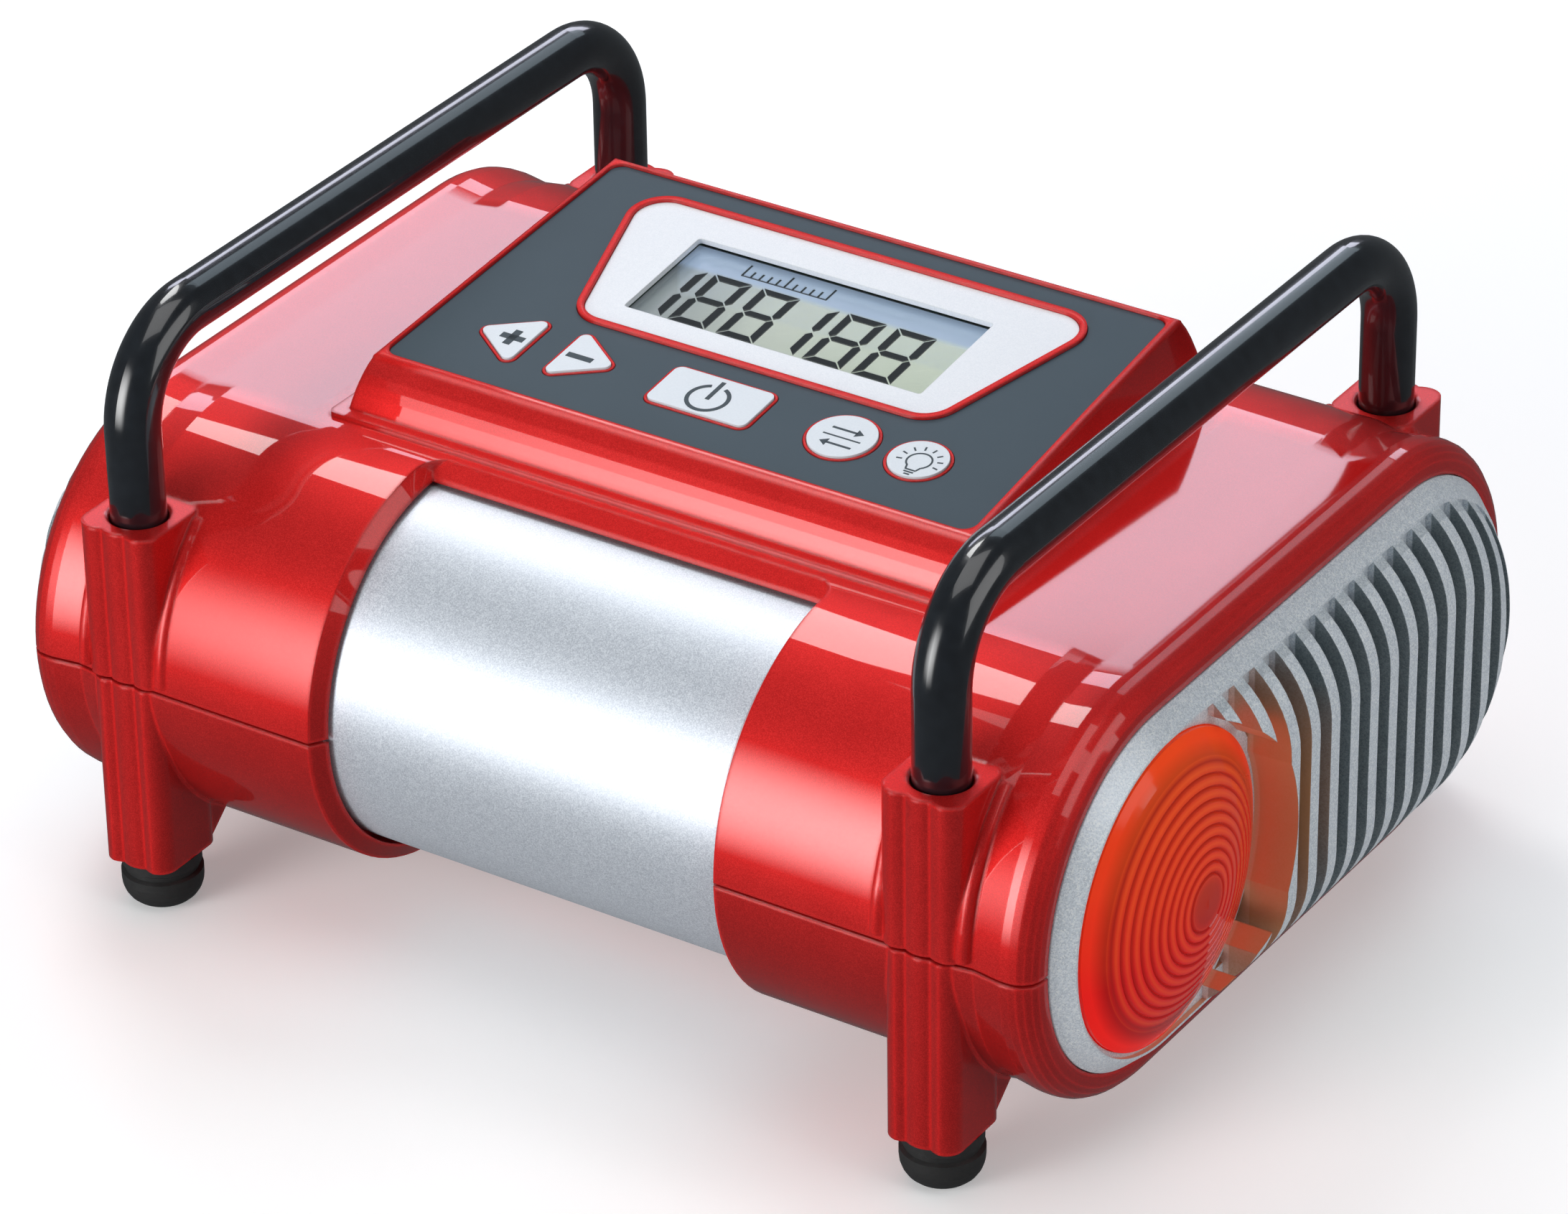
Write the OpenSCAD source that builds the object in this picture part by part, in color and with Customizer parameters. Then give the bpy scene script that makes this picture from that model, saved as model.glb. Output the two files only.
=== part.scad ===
// Portable 12 V tyre inflator with a digital console, a lamp and two tube handles.
// Millimetres. X runs along the barrels, Y to the back, Z up. The origin is on the floor, midway
// between the four feet.

/* [Casing] */
// Radius of the front and back barrels
barrel_r = 38.5; // [37.5:0.5:41]
// Distance from the middle plane to each barrel axis
barrel_y = 43.5; // [42:0.5:46]
// Height of the barrel axes above the floor
axis_z = 48; // [47.5:0.5:50]
// Half the length of the casing
casing_half = 103.5; // [102:0.5:108]
// Thickness of the casing wall
wall = 3.2; // [2.8:0.1:3.5]
// Thickness of the casing's end walls
end_wall = 4; // [3:0.5:5]
// Gap that shows between the upper and lower casings
parting_gap = 0.6; // [0.4:0.1:1]
// Radius that rounds the casing's ends
end_round = 4.4; // [3:0.2:5]
// Depth of the shallow hollow beside each end
flare_depth = 0.8; // [0.2:0.1:1.2]

/* [Corner posts] */
// Distance from each end of the casing in to the posts
post_end = 21.5; // [20:0.5:23.5]
// Distance from the front of the barrels back to each handle leg
post_inset = 7.5; // [6:0.5:8.5]
// Width of a post
post_w = 15.8; // [14.6:0.2:17]
// Distance from a handle leg to the outer face of its post
post_front = 8.2; // [7.4:0.2:9]
// Height of the post tops
post_top_z = 78.3; // [75.5:0.1:79.5]
// Height of the underside of the posts, which is also the height of the feet
post_bottom_z = 10; // [9:0.5:11]
// Radius of the three flutes down the outer face of a post
flute_r = 5; // [4.5:0.5:8]

/* [Handles] */
// Outer radius of the handle tube
tube_r = 5; // [4.5:0.1:5.4]
// Wall of the handle tube
tube_wall = 1.4; // [1:0.1:1.8]
// Height of the centre of the hand bars above the decks
bar_rise = 25.2; // [22.4:0.2:33]
// Bend radius of the tube's centre line
bend_r = 17; // [14:0.5:20]
// Height of the lower end of the legs, inside the posts
leg_end_z = 54; // [52:1:60]

/* [Console] */
// Width of the control overlay at its front edge
panel_w = 120.4; // [117:0.2:122]
// How much narrower the overlay is at its back edge
panel_taper = 4.3; // [2:0.1:6]
// Depth of the control overlay, along its slope
panel_d = 70; // [69:0.2:73]
// Distance from the front barrel's axis back to the overlay
panel_setback = 12.8; // [12:0.1:14]
// Height of the front edge of the overlay above the decks
panel_rise = 9.3; // [9.2:0.1:12]
// Slope of the overlay
panel_tilt = 6.25; // [4:0.25:7]
// Thickness of the overlay
overlay_t = 1.2; // [0.8:0.1:1.6]
// How far the rim reaches beyond the overlay
rim_w = 1.5; // [1.2:0.1:2]
// Height of the rim above the overlay
rim_rise = 0.5; // [0.2:0.1:0.8]
// How far the front and back skirts lean out at the foot
skirt_lean = 5.6; // [4:0.2:6]
// Width of the ledge round the foot of the console
ledge_w = 2.6; // [2:0.1:3]
// Height of that ledge above the decks
ledge_h = 0.8; // [0.4:0.1:1.2]
// How far the side skirts lean out over 15 mm of height
side_lean = 2.6; // [2:0.2:4]
// Corner radius of the raised lip around the display
lip_r = 7; // [6.4:0.2:7.6]
// Width of that lip
lip_w = 1.3; // [1:0.1:1.6]
// Width of the display glass
glass_w = 61.6; // [58:0.2:63]
// Depth of the display glass
glass_d = 24.4; // [22:0.2:25]

/* [Buttons] */
// How far the buttons stand above the overlay
button_rise = 0.5; // [0.3:0.1:0.8]
// How far a button travels
button_travel = 0.6; // [0.4:0.1:0.6]
// Play around each button
button_gap = 0.15; // [0.1:0.05:0.25]
// Width of the casing's ring round each button
ring_w = 0.5; // [0.4:0.1:0.7]
// Radius of the unit button
unit_r = 6.2; // [5.6:0.1:6.4]
// Radius of the light button
light_r = 5.4; // [5:0.1:5.6]
// Width of the power button
power_w = 20.4; // [18:0.2:21]
// Depth of the power button
power_d = 11; // [10:0.2:12]
// Flat side of the plus and minus buttons
arrow_side = 12.6; // [11:0.2:12.8]
// Length of the plus and minus buttons
arrow_len = 11; // [10:0.2:11.2]

/* [Sleeve] */
// Depth of the silver sleeve below the outside of the casing
sleeve_depth = 4.1; // [3.9:0.1:4.9]
// Thickness of the sleeve
sleeve_t = 1.8; // [1.2:0.1:2.2]
// Half the width of the window that shows the sleeve
window_half = 39.2; // [36:0.2:40]
// How far the window's walls lean outwards
window_lean = 2.6; // [1.5:0.1:3.2]

/* [End caps] */
// Distance from the outside of the barrels to the end caps
cap_inset = 5.7; // [5.1:0.1:6.1]
// How far the rim of a cap stands out of the casing
rim_out = 3.5; // [2.5:0.25:4]
// How far the fins and the lens stand out of the casing
fin_out = 11.2; // [10:0.2:12.4]
// Distance between fins
fin_pitch = 6.82; // [6.6:0.02:7]
// Thickness of a fin
fin_t = 3; // [2.4:0.1:3.2]
// Distance of the middle fin from the middle plane
fin_phase = -1.2; // [-1.6:0.1:-0.8]
// Radius over which the fins curve back to the rim
fin_round = 20; // [18:1:24]
// Thickness of a cap's plate
cap_plate = 3.5; // [2.5:0.25:4]

/* [Lamp] */
// Distance from the edge of the cap to the lens
lens_inset = 4.5; // [4.4:0.1:5.2]
// Thickness of the lens
lens_t = 2.2; // [1.6:0.1:2.6]
// Height of the lens's straight edge above the cap's plate
lens_edge = 0.8; // [0.6:0.1:2]
// Depth of the reflector bowl
bowl_depth = 19; // [16:0.5:20]
// Radius of the lamp bulb
bulb_r = 4.5; // [3.5:0.1:5]

/* [Feet and screws] */
// Radius of the rubber feet
foot_r = 7.4; // [6.6:0.1:7.4]
// Radius of the flat that each foot rests on
foot_flat_r = 3.6; // [3:0.1:4.5]
// Shank radius of the long handle screws
handle_screw_r = 2; // [1.6:0.1:2.3]
// Shank radius of the casing screws
case_screw_r = 1.5; // [1.2:0.1:1.8]
// Distance of the casing screws from the middle, along the barrels
case_screw_x = 54; // [53:0.2:56]
// Distance of the casing screws from the middle plane
case_screw_y = 60; // [59.5:0.5:61.5]

/* [Motor and pump] */
// Radius of the motor can
motor_r = 16; // [15:0.5:16.5]
// Length of the motor can
motor_len = 58; // [50:1:60]
// Radius of the motor shaft
shaft_r = 1.6; // [1.4:0.1:2]
// Y of the motor axis
motor_y = -38; // [-39:0.5:-37]
// Gear module
gear_module = 0.7; // [0.66:0.01:0.72]
// Teeth on the pinion
pinion_teeth = 16; // [16:1:17]
// Teeth on the crank gear
crank_teeth = 56; // [54:1:56]
// Face width of the gears
gear_width = 5; // [4:0.5:5]
// Throw of the crank, half the stroke
crank_throw = 6; // [5.5:0.1:6]
// Length of the connecting rod between its holes
rod_len = 35; // [34:0.5:36]
// Thickness of the connecting rod
rod_t = 5; // [4:0.5:5]
// Radius of the cylinder bore
bore_r = 12.2; // [12:0.1:12.6]
// Radius of the cylinder outside its bore
cylinder_r = 15; // [14.5:0.25:15.5]
// Radius of the cooling fan
fan_r = 17; // [14:0.5:18]
// Number of fan blades
fan_blades = 8; // [6:1:9]

/* [Back connections] */
// Distance of the cord grommet from the middle
cord_x = -54; // [-56:1:-48]
// Radius of the hole for the cord
cord_hole_r = 3.2; // [2.5:0.1:3.6]
// Radius of the air outlet fitting
outlet_r = 6; // [5.5:0.1:6.5]
// Radius of the socket in the air outlet
outlet_bore_r = 4.3; // [3.5:0.1:4.5]

/* [Hidden] */

$fn = 96;
pi = 3.14159265;
eps = 0.5;                       // how far a cut runs past the face it opens
press_gap = 0.02;                // between pieces pressed together
run_gap = 0.05;                  // between a shaft and its bearing
slip_gap = 0.25;                 // between pieces that slide together once
tap_gap = 0.02;                  // between a screw and the plastic it cuts into
corner_steps = 12;               // flats round the corner of a key or of the display

casing_red = "firebrick";
cavity_r = barrel_r - wall;
cavity_half = casing_half - end_wall;
deck_z = axis_z + barrel_r;
post_x = casing_half - post_end;
post_y = barrel_y + barrel_r - post_inset;
bar_z = deck_z + bar_rise;
floor_z = axis_z - cavity_r;
upper_z = axis_z + parting_gap / 2;
lower_z = axis_z - parting_gap / 2;
valley_x = casing_half - 11.5;
post_corner_r = 3.2;
post_foot_in = 0.8;              // the lower posts are this much narrower on each side
flute_pitch = 4.8;
column_back = 8;                 // from a leg's axis to the inner face of its column
gusset_back = 17;                // from a leg's axis to the back of the lower web
ridge_r = 1.3;                   // soft ridges where a post runs into the barrel
ridge_in = 0.5;
ridge_x = post_w / 2 + 0.4;
ridge_start = 2;
ridge_end = asin((post_top_z - axis_z) / barrel_r) - 3;
bore_gap = 0.3;                  // round each handle leg
bore_soft = 0.5;
tongue_h = 2.8;                  // lip that lines up the casings
tongue_t = 1.4;

panel_half = panel_w / 2;
panel_back_half = panel_half - panel_taper / 2;
panel_turn = atan((panel_half - panel_back_half) / panel_d);
panel_y = panel_setback - barrel_y;
panel_z = deck_z + panel_rise;
console_front = panel_point(-rim_w, rim_rise)[0] - skirt_lean;
console_back = panel_point(panel_d + rim_w, rim_rise)[0] + skirt_lean;
skirt_steps = 6;
panel_wall = 2.2;                // casing wall under the overlay
panel_under = -overlay_t - panel_wall;
panel_corner_r = 2.5;
console_wall = 2.6;
rim_soft = 0.9;
ledge_corner_r = 1.5;
ring_rise = 0.15;
lip_rise = 0.4;
bezel_t = 1;
bezel_seat = 1.5;
bezel_corner_r = lip_r - lip_w;
glass_t = 1.2;
glass_corner_r = 0.6;
glass_hold = 1.5;                // how far the bezel covers the glass
lcd_t = 5.8;
display_v = 43.8;                // from the overlay's front edge to the middle of the glass
lip_back = panel_half - 20;      // half widths between the centres of the lip's corners
lip_front = lip_back - 7.9;
lip_corners = [[-lip_front, display_v - 12.3], [lip_front, display_v - 12.3],
    [lip_back, display_v + 14.5], [-lip_back, display_v + 14.5]];
board_t = 1.6;
board_top = -bezel_t - glass_t - lcd_t;
board_w = panel_w - 12.4;
board_front = 3;
board_back = panel_d - 4;
standoff_in = 4;
standoff_x = board_w / 2 - standoff_in;
standoff_r = 2.6;
board_screw_r = 1;

button_v = 14.2;                 // from the overlay's front edge to the button row
plus_x = 21.3 - panel_half;      // flat side of the plus button
minus_x = plus_x + 7.1;          // flat side of the minus button
power_x = -1;
light_x = panel_half - 18.9;
unit_x = light_x - 15.3;
arrow_r = 1.2;
power_r = 1.5;
flange_w = 0.8;
flange_t = 1.2;
switch_h = 1.5;
switch_w = 6;

rib_t = 2;
rib_depth = 4;
sleeve_r = barrel_r - sleeve_depth;
sleeve_half = window_half + window_lean + 2.9;
sleeve_back_y = 7.5 - barrel_y;
window_y = 2.8;                  // from the front axis to the edges of the bare sleeve
window_y_lean = 0.9;             // for each millimetre of height
window_top = 1.6;                // how far the window reaches behind the front axis
window_corner_r = 6;

cap_r = barrel_r - cap_inset;
lens_r = cap_r - lens_inset;
cap_x = casing_half + rim_out;                    // face of the rim
seat_x = cap_x - 0.9;                             // face of the plate between the fins
plate_x = seat_x - cap_plate;                     // back of the plate
fin_x = casing_half + fin_out;
rim_inner_r = cap_r - 3.5;
pocket_r = cap_r - 2.6;
cap_flange_r = cavity_r - 0.7;
cap_flange_t = 2.2;
cap_flange_x = cavity_half - 0.3;
cap_back_x = cap_flange_x - cap_flange_t;
cap_rib_r = pocket_r - 1.5;
fin_sweep = acos(1 - (fin_x - cap_x) / fin_round);
fin_flat_r = rim_inner_r - fin_round * sin(fin_sweep);
fin_count = 10;                  // fins on each side of the middle one
first_lamp_fin = -4;
slot_r = rim_inner_r - 3.3;
clear_r = lens_r + 1.7;

lens_flange_r = pocket_r - 0.2;
lens_flange_t = 1.7;
lens_base_x = seat_x + lens_edge;
ring_first = 5.2;
ring_pitch = 2;
ring_count = 9;
ring_half = 0.35;
ring_deep = 0.45;
ring_last = ring_first + ring_pitch * (ring_count - 1) + 0.8;
bowl_x = plate_x - lens_flange_t;                 // mouth of the bowl
bowl_t = 1.2;
bowl_skirt = 1.4;
bowl_r = lens_r - 1.3;
neck_x = bowl_x - bowl_depth;
neck_r = bulb_r + 1.5;
neck_len = 8;
holder_len = 12;
bulb_base_r = 3;

head_r = 3.8;                    // head of a handle screw
head_h = 3;
screw_seat_z = post_bottom_z + 17;
counterbore_r = 4.5;
insert_len = 12;
foot_plug = 6;
case_head_r = 2.8;
case_head_h = 2.2;
case_seat_z = 24;
case_bore_r = 3.1;
case_screw_top = 66;
boss_r = 4.6;

gear_gap = gear_module * (pinion_teeth + crank_teeth) / 2;
backlash = 0.14;
frame_x = -12;                   // the motor bolts to this face of the frame
frame_t = 4;
gear_x = frame_x + frame_t + 0.8;
rod_x = gear_x + gear_width + 2.2;
cyl_x = rod_x + rod_t / 2;
gear_y = motor_y + gear_gap;
gear_outer = gear_module * (crank_teeth / 2 + 1);
crank_y = gear_y - crank_throw;
wrist_y = crank_y + rod_len;
axle_r = 2.2;
axle_head_r = 3.6;
axle_end_x = frame_x - 8;
crank_pin_r = 2;
wrist_pin_r = 1.5;
wrist_pin_half = 5;
small_end_r = 3;
big_end_r = 4.6;
bridge_y = gear_y + gear_outer + 0.8;             // front of the frame's bridge
bridge_t = 3;
bridge_hole_r = 11.4;
piston_gap = 0.06;
piston_wall = 2.2;
crown_t = 4.5;
ring_t = 1.6;
groove_r = bore_r - 1.5;
crown_y = wrist_y + small_end_r + 2 * crank_throw + 0.6;
skirt_y = bridge_y + bridge_t + 1.8;
cylinder_y = bridge_y + bridge_t;
cylinder_end = crown_y + crown_t + 2 * crank_throw + 1.2;
head_plate_r = 20.5;
head_plate_t = 4;
chamber_r = 13;
chamber_t = 7;
head_end = cylinder_end + head_plate_t + chamber_t;
head_screw_r = 1.3;
head_screw_ring = cylinder_r + 2.6;
frame_foot_z = floor_z + 10;
frame_foot_t = 3;
frame_front = gear_y - 21;
frame_right = rod_x + rod_t + 19;
frame_h = axis_z + 22 - frame_foot_z;
mount_r = 4.6;
mount_boss_h = 3;
mount_head_r = 2.8;
mount_in = 6;                    // from the edges of the frame's foot to the mounts
frame_reach = 13;                // from the motor's axis to the frame's front edge
mount_screw_r = 1.5;
can_wall = 1.4;
can_front_t = 2;
magnet_t = 2.8;
bush_r = 3;
bush_len = 4;
end_plate_t = 3;
armature_r = motor_r - can_wall - magnet_t - 0.8;
motor_back = frame_x - motor_len;
motor_screw_z = 10;
fan_t = 8;
fan_x = motor_back - 12;
fan_hub_r = 5;
pipe_r = 3;
pipe_bore = 1.6;
spigot_r = pipe_bore - press_gap;
outlet_face = barrel_y + barrel_r;
outlet_back = outlet_face - 12;
spigot_len = (outlet_back - head_end) / 2 - 0.5;
spigot_bore = 0.8;
outlet_depth = 8;
fitting_flange_y = outlet_face - 7.6;
fitting_flange_t = 3;
fitting_flange = 2;
cradle_y = outlet_face - 10;
cradle_t = 2.2;
cradle_half = 11;                // half the width of a cradle, and
cradle_reach = 30;               // how far it goes above and below the fitting
grommet_r = 6;
sensor_v = panel_d - 10;
sensor_t = 5;
sensor_w = 9;
sensor_port = 4;
sensor_tube_r = 2.2;
sensor_bore = 1.1;
sensor_bend = 5;

// ---------- shapes used more than once ----------

// Carries a drawing of [y, z] points from one X to another
module along_x(from, to) {
    translate([from, 0, 0]) rotate([90, 0, 90]) linear_extrude(to - from) children();
}

// A rod along X
module x_rod(y, z, r, from, to) {
    translate([from, y, z]) rotate([0, 90, 0]) cylinder(r = r, h = to - from);
}

// A rod along Y
module y_rod(x, z, r, from, to) {
    translate([x, from, z]) rotate([-90, 0, 0]) cylinder(r = r, h = to - from);
}

// A rod along Z
module z_rod(r, from, to) {
    translate([0, 0, from]) cylinder(r = r, h = to - from);
}

// Two barrels joined by flat decks, from one X to another
module barrels(r, from, to) {
    translate([0, 0, axis_z]) {
        along_x(from, to) square([2 * barrel_y, 2 * r], center = true);
        for (s = [-1, 1])
            x_rod(s * barrel_y, 0, r, from, to);
    }
}

// An outline of [radius, x] points carried round the two barrels
module oval_turn(points) {
    translate([0, 0, axis_z]) {
        for (s = [0, 1])
            mirror([0, s, 0]) translate([0, barrel_y, 0]) rotate([0, 90, 0])
                rotate_extrude(angle = 180) polygon(points);
        for (s = [-1, 1])
            translate([0, barrel_y, 0]) rotate([90, 0, 0]) linear_extrude(2 * barrel_y)
                polygon([for (p = points) [p[1], s * p[0]]]);
    }
}

// Points round one corner of a convex outline, between its neighbours
function corner_points(before, at, after, r) = let (
    start = atan2(at[1] - before[1], at[0] - before[0]) - 90,
    end = atan2(after[1] - at[1], after[0] - at[0]) - 90,
    turn = (end - start + 720) % 360)
    [for (i = [0 : corner_steps]) at + r * [cos(start + turn * i / corner_steps),
        sin(start + turn * i / corner_steps)]];

// A convex outline with round corners: the corners' centres, anticlockwise, and their radius
module rounded(centres, r) {
    n = len(centres);
    polygon([for (i = [0 : n - 1])
        each corner_points(centres[(i + n - 1) % n], centres[i], centres[(i + 1) % n], r)]);
}

// A rectangle with round corners, by its corners and radius
module rounded_box(x0, y0, x1, y1, r) {
    translate([x0 + r, y0]) square([x1 - x0 - 2 * r, y1 - y0]);
    translate([x0, y0 + r]) square([x1 - x0, y1 - y0 - 2 * r]);
    for (x = [x0 + r, x1 - r], y = [y0 + r, y1 - r])
        translate([x, y]) circle(r);
}

// Puts children on the overlay: x along its width, y up its slope, z out of it
module on_panel(level = 0) {
    translate([0, panel_y, panel_z]) rotate([panel_tilt, 0, 0]) translate([0, 0, level]) children();
}

// The [y, z] point at a distance up the overlay's slope and a height above it
function panel_point(v, w) = [panel_y + v * cos(panel_tilt) - w * sin(panel_tilt),
    panel_z + v * sin(panel_tilt) + w * cos(panel_tilt)];

// The corners of the object, at the handle legs, with -Y pointing out of the object
module at_posts(sides = [-1, 1]) {
    for (sx = sides, sy = [-1, 1])
        translate([sx * post_x, sy * post_y, 0]) rotate([0, 0, sy > 0 ? 180 : 0]) children();
}

module at_case_screws() {
    for (sx = [-1, 1], sy = [-1, 1])
        translate([sx * case_screw_x, sy * case_screw_y, 0]) children();
}

module at_standoffs() {
    for (s = [-1, 1], v = [board_front + standoff_in, board_back - standoff_in])
        translate([s * standoff_x, v, 0]) children();
}

module at_mounts() {
    for (x = [frame_x + frame_t + mount_head_r + 1, frame_right - mount_in],
        y = [frame_front + mount_in, cylinder_y - mount_in])
        translate([x, y, 0]) children();
}

module above(z) {
    translate([-150, -150, z]) cube([300, 300, 200]);
}

module below(z) {
    translate([-150, -150, z - 200]) cube([300, 300, 200]);
}

// ---------- casings ----------

end_outline = concat(
    [for (a = [90 : -18 : 0]) [barrel_r - end_round + end_round * cos(a),
        casing_half - end_round + end_round * sin(a)]],
    [[barrel_r, valley_x + 5.5], [barrel_r - flare_depth, valley_x], [barrel_r, valley_x - 6]]);
end_last = len(end_outline) - 1;

module body() {
    oval_turn(concat([[0, casing_half]], end_outline,
        [for (i = [end_last : -1 : 0]) [end_outline[i][0], -end_outline[i][1]]],
        [[0, -casing_half]]));
}

// Section of a post, made narrower on each side by an inset
module post_plan(inset) {
    half = post_w / 2 - inset;
    intersection() {
        rounded_box(-half, -post_front, half, column_back, post_corner_r);
        union() {
            for (i = [-1 : 1])
                translate([i * flute_pitch, flute_r - post_front]) circle(flute_r);
            translate([-half, 1.5 - post_front]) square([2 * half, post_front + column_back]);
        }
    }
}

// Upper half of a post, with the ridges that run into the barrel
module upper_post() {
    translate([0, 0, upper_z]) linear_extrude(post_top_z - upper_z) post_plan(0);
    for (s = [-1, 1])
        translate([s * ridge_x, barrel_r - post_inset, axis_z]) rotate([90 - ridge_start, 0, 0])
            rotate([0, -90, 0]) rotate_extrude(angle = ridge_end - ridge_start)
            translate([barrel_r - ridge_in, 0]) circle(ridge_r, $fn = 32);
}

// Lower half of a post, with the web that runs back to the barrel's underside
module lower_post() {
    translate([0, 0, post_bottom_z]) linear_extrude(lower_z - post_bottom_z) post_plan(post_foot_in);
}

module lower_web() {
    half = post_w / 2 - post_foot_in - 0.8;
    along_x(-half, half)
        polygon([[0, post_bottom_z + 1], [column_back - 1, post_bottom_z + 1],
            [gusset_back, post_bottom_z + 9.5], [gusset_back, axis_z - 10], [0, axis_z - 10]]);
}

// Space inside both casings
module cavity() {
    barrels(cavity_r, -cavity_half, cavity_half);
    barrels(cap_r + 0.2, -casing_half - eps, casing_half + eps);
}

// What is common to a shape and its mirror image
module both_sides() {
    intersection() {
        children();
        mirror([1, 0, 0]) children();
    }
}

// Points of a soft top edge, at a distance from the middle and a height, turned to one side
function soft_edge(out, top, side) = [for (a = [0 : 30 : 90])
    [side * (out - rim_soft * (1 - cos(a))), top - rim_soft * (1 - sin(a))]];

// [y, z] points down the front or back skirt, from under the rim to the deck
function skirt(top, foot_y) = [for (i = [1 : skirt_steps]) let (t = i / skirt_steps) [
    top[0] + (foot_y - top[0]) * (t + sin(90 * t)) / 2,
    top[1] + (deck_z - top[1]) * (t + 1 - cos(90 * t)) / 2]];

// The console: its outside, or its inside when it is inset
module console(inset) {
    top = inset > 0 ? panel_under : rim_rise;
    out = rim_w - inset;
    low = inset > 0 ? axis_z + 20 : deck_z - wall;
    side = panel_half + out;
    deep = 45;
    front = [for (p = soft_edge(out, top, -1)) panel_point(p[0], p[1])];
    back = [for (p = soft_edge(panel_d + out, top, 1)) panel_point(p[0], p[1])];
    both_sides() intersection() {
        along_x(-90, 90) polygon(concat(front, [for (i = [len(back) - 1 : -1 : 0]) back[i]],
            skirt(back[0], console_back - inset), [[console_back - inset, low]],
            [[console_front + inset, low]], [for (i = [skirt_steps - 1 : -1 : 0])
                skirt(front[0], console_front + inset)[i]]));
        on_panel() rotate([0, 0, panel_turn]) translate([0, panel_d + 40, 0]) rotate([90, 0, 0])
            linear_extrude(panel_d + 80) polygon(concat([[-90, top - deep]],
                [[side + side_lean * deep / 15, top - rim_soft - deep]], soft_edge(side, top, 1),
                [[-90, top]]));
    }
}

// How far the side skirts lean out at the deck, at a distance up the overlay
function foot_lean(v) = side_lean * (panel_rise + v * sin(panel_tilt)) / 15;

// Ledge round the foot of the console
module ledge() {
    out = rim_w + ledge_w - ledge_corner_r;
    front_x = panel_half + foot_lean(0) + out;
    back_x = panel_back_half + foot_lean(panel_d) + out;
    front_y = console_front - ledge_w + ledge_corner_r;
    back_y = console_back + ledge_w - ledge_corner_r;
    translate([0, 0, deck_z - wall + 0.4]) linear_extrude(wall - 0.4 + ledge_h)
        rounded([[-front_x, front_y], [front_x, front_y], [back_x, back_y], [-back_x, back_y]],
            ledge_corner_r);
}

// Window that shows the sleeve: walls that lean outwards in every direction
module sleeve_window() {
    edge = barrel_y + window_y;
    window_rise = 8;
    reach = window_half + 2 * window_lean;
    intersection() {
        translate([0, -barrel_y, axis_z]) rotate([0, 90, 0]) rotate_extrude()
            polygon([[20, -window_half], [sleeve_r, -window_half],
                [barrel_r + 4, -window_half - window_lean * (barrel_r + 4 - sleeve_r) / 4],
                [barrel_r + 4, window_half + window_lean * (barrel_r + 4 - sleeve_r) / 4],
                [sleeve_r, window_half], [20, window_half]]);
        along_x(-reach, reach) polygon([[-edge, axis_z], [-edge, axis_z + sleeve_r],
            [window_rise * window_y_lean - edge, axis_z + sleeve_r + window_rise],
            [-140, axis_z + sleeve_r + window_rise], [-140, axis_z - sleeve_r - window_rise],
            [window_rise * window_y_lean - edge, axis_z - sleeve_r - window_rise],
            [-edge, axis_z - sleeve_r]]);
        linear_extrude(200) rounded_box(-window_half - window_lean, -140,
            window_half + window_lean, window_top - barrel_y, window_corner_r);
    }
}

// Ribs inside a casing: beside the sleeve, and behind each end cap
module ribs() {
    for (s = [-1, 1]) {
        intersection() {
            difference() {
                x_rod(-barrel_y, axis_z, cavity_r + 1, s * (sleeve_half + 1.3) - 1,
                    s * (sleeve_half + 1.3) + 1);
                x_rod(-barrel_y, axis_z, cavity_r - rib_depth, -casing_half, casing_half);
            }
            translate([-casing_half, -150, 0]) cube([2 * casing_half, 150 + sleeve_back_y, 200]);
        }
        difference() {
            barrels(cavity_r + 1, s * (cap_back_x - 1.2) - 1, s * (cap_back_x - 1.2) + 1);
            barrels(cap_rib_r, -casing_half, casing_half);
        }
    }
}

// Pieces of wall that hold the air outlet and the cord grommet
module cradles() {
    for (c = [[cyl_x, outlet_r], [cord_x, grommet_r]])
        intersection() {
            barrels(cavity_r + 1, -90, 90);
            translate([c[0] - cradle_half, cradle_y - cradle_t, axis_z - cradle_reach])
                cube([2 * cradle_half, cradle_t, 2 * cradle_reach]);
        }
}

module back_holes() {
    y_rod(cyl_x, axis_z, outlet_r + press_gap, outlet_back - eps, outlet_face + eps);
    y_rod(cord_x, axis_z, grommet_r + press_gap, outlet_back - eps, outlet_face + eps);
}

// Lips of the lower casing that line it up with the upper one
module tongues(gap) {
    y = barrel_y + cavity_r;
    h = tongue_h + gap;
    for (t = [[-1, -68, -50], [-1, 50, 68], [1, -38, -14], [1, 20, 68]])
        translate([t[1] - gap, t[0] * (y + tongue_t / 2) - tongue_t / 2 - gap, lower_z - (1 - gap) ])
            cube([t[2] - t[1] + 2 * gap, tongue_t + 2 * gap, h + 1]);
}

// Bosses round the casing screws, between two heights
module bosses(from, to) {
    intersection() {
        at_case_screws() z_rod(boss_r, from, to);
        barrels(cavity_r + 1, -90, 90);
    }
}

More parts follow.
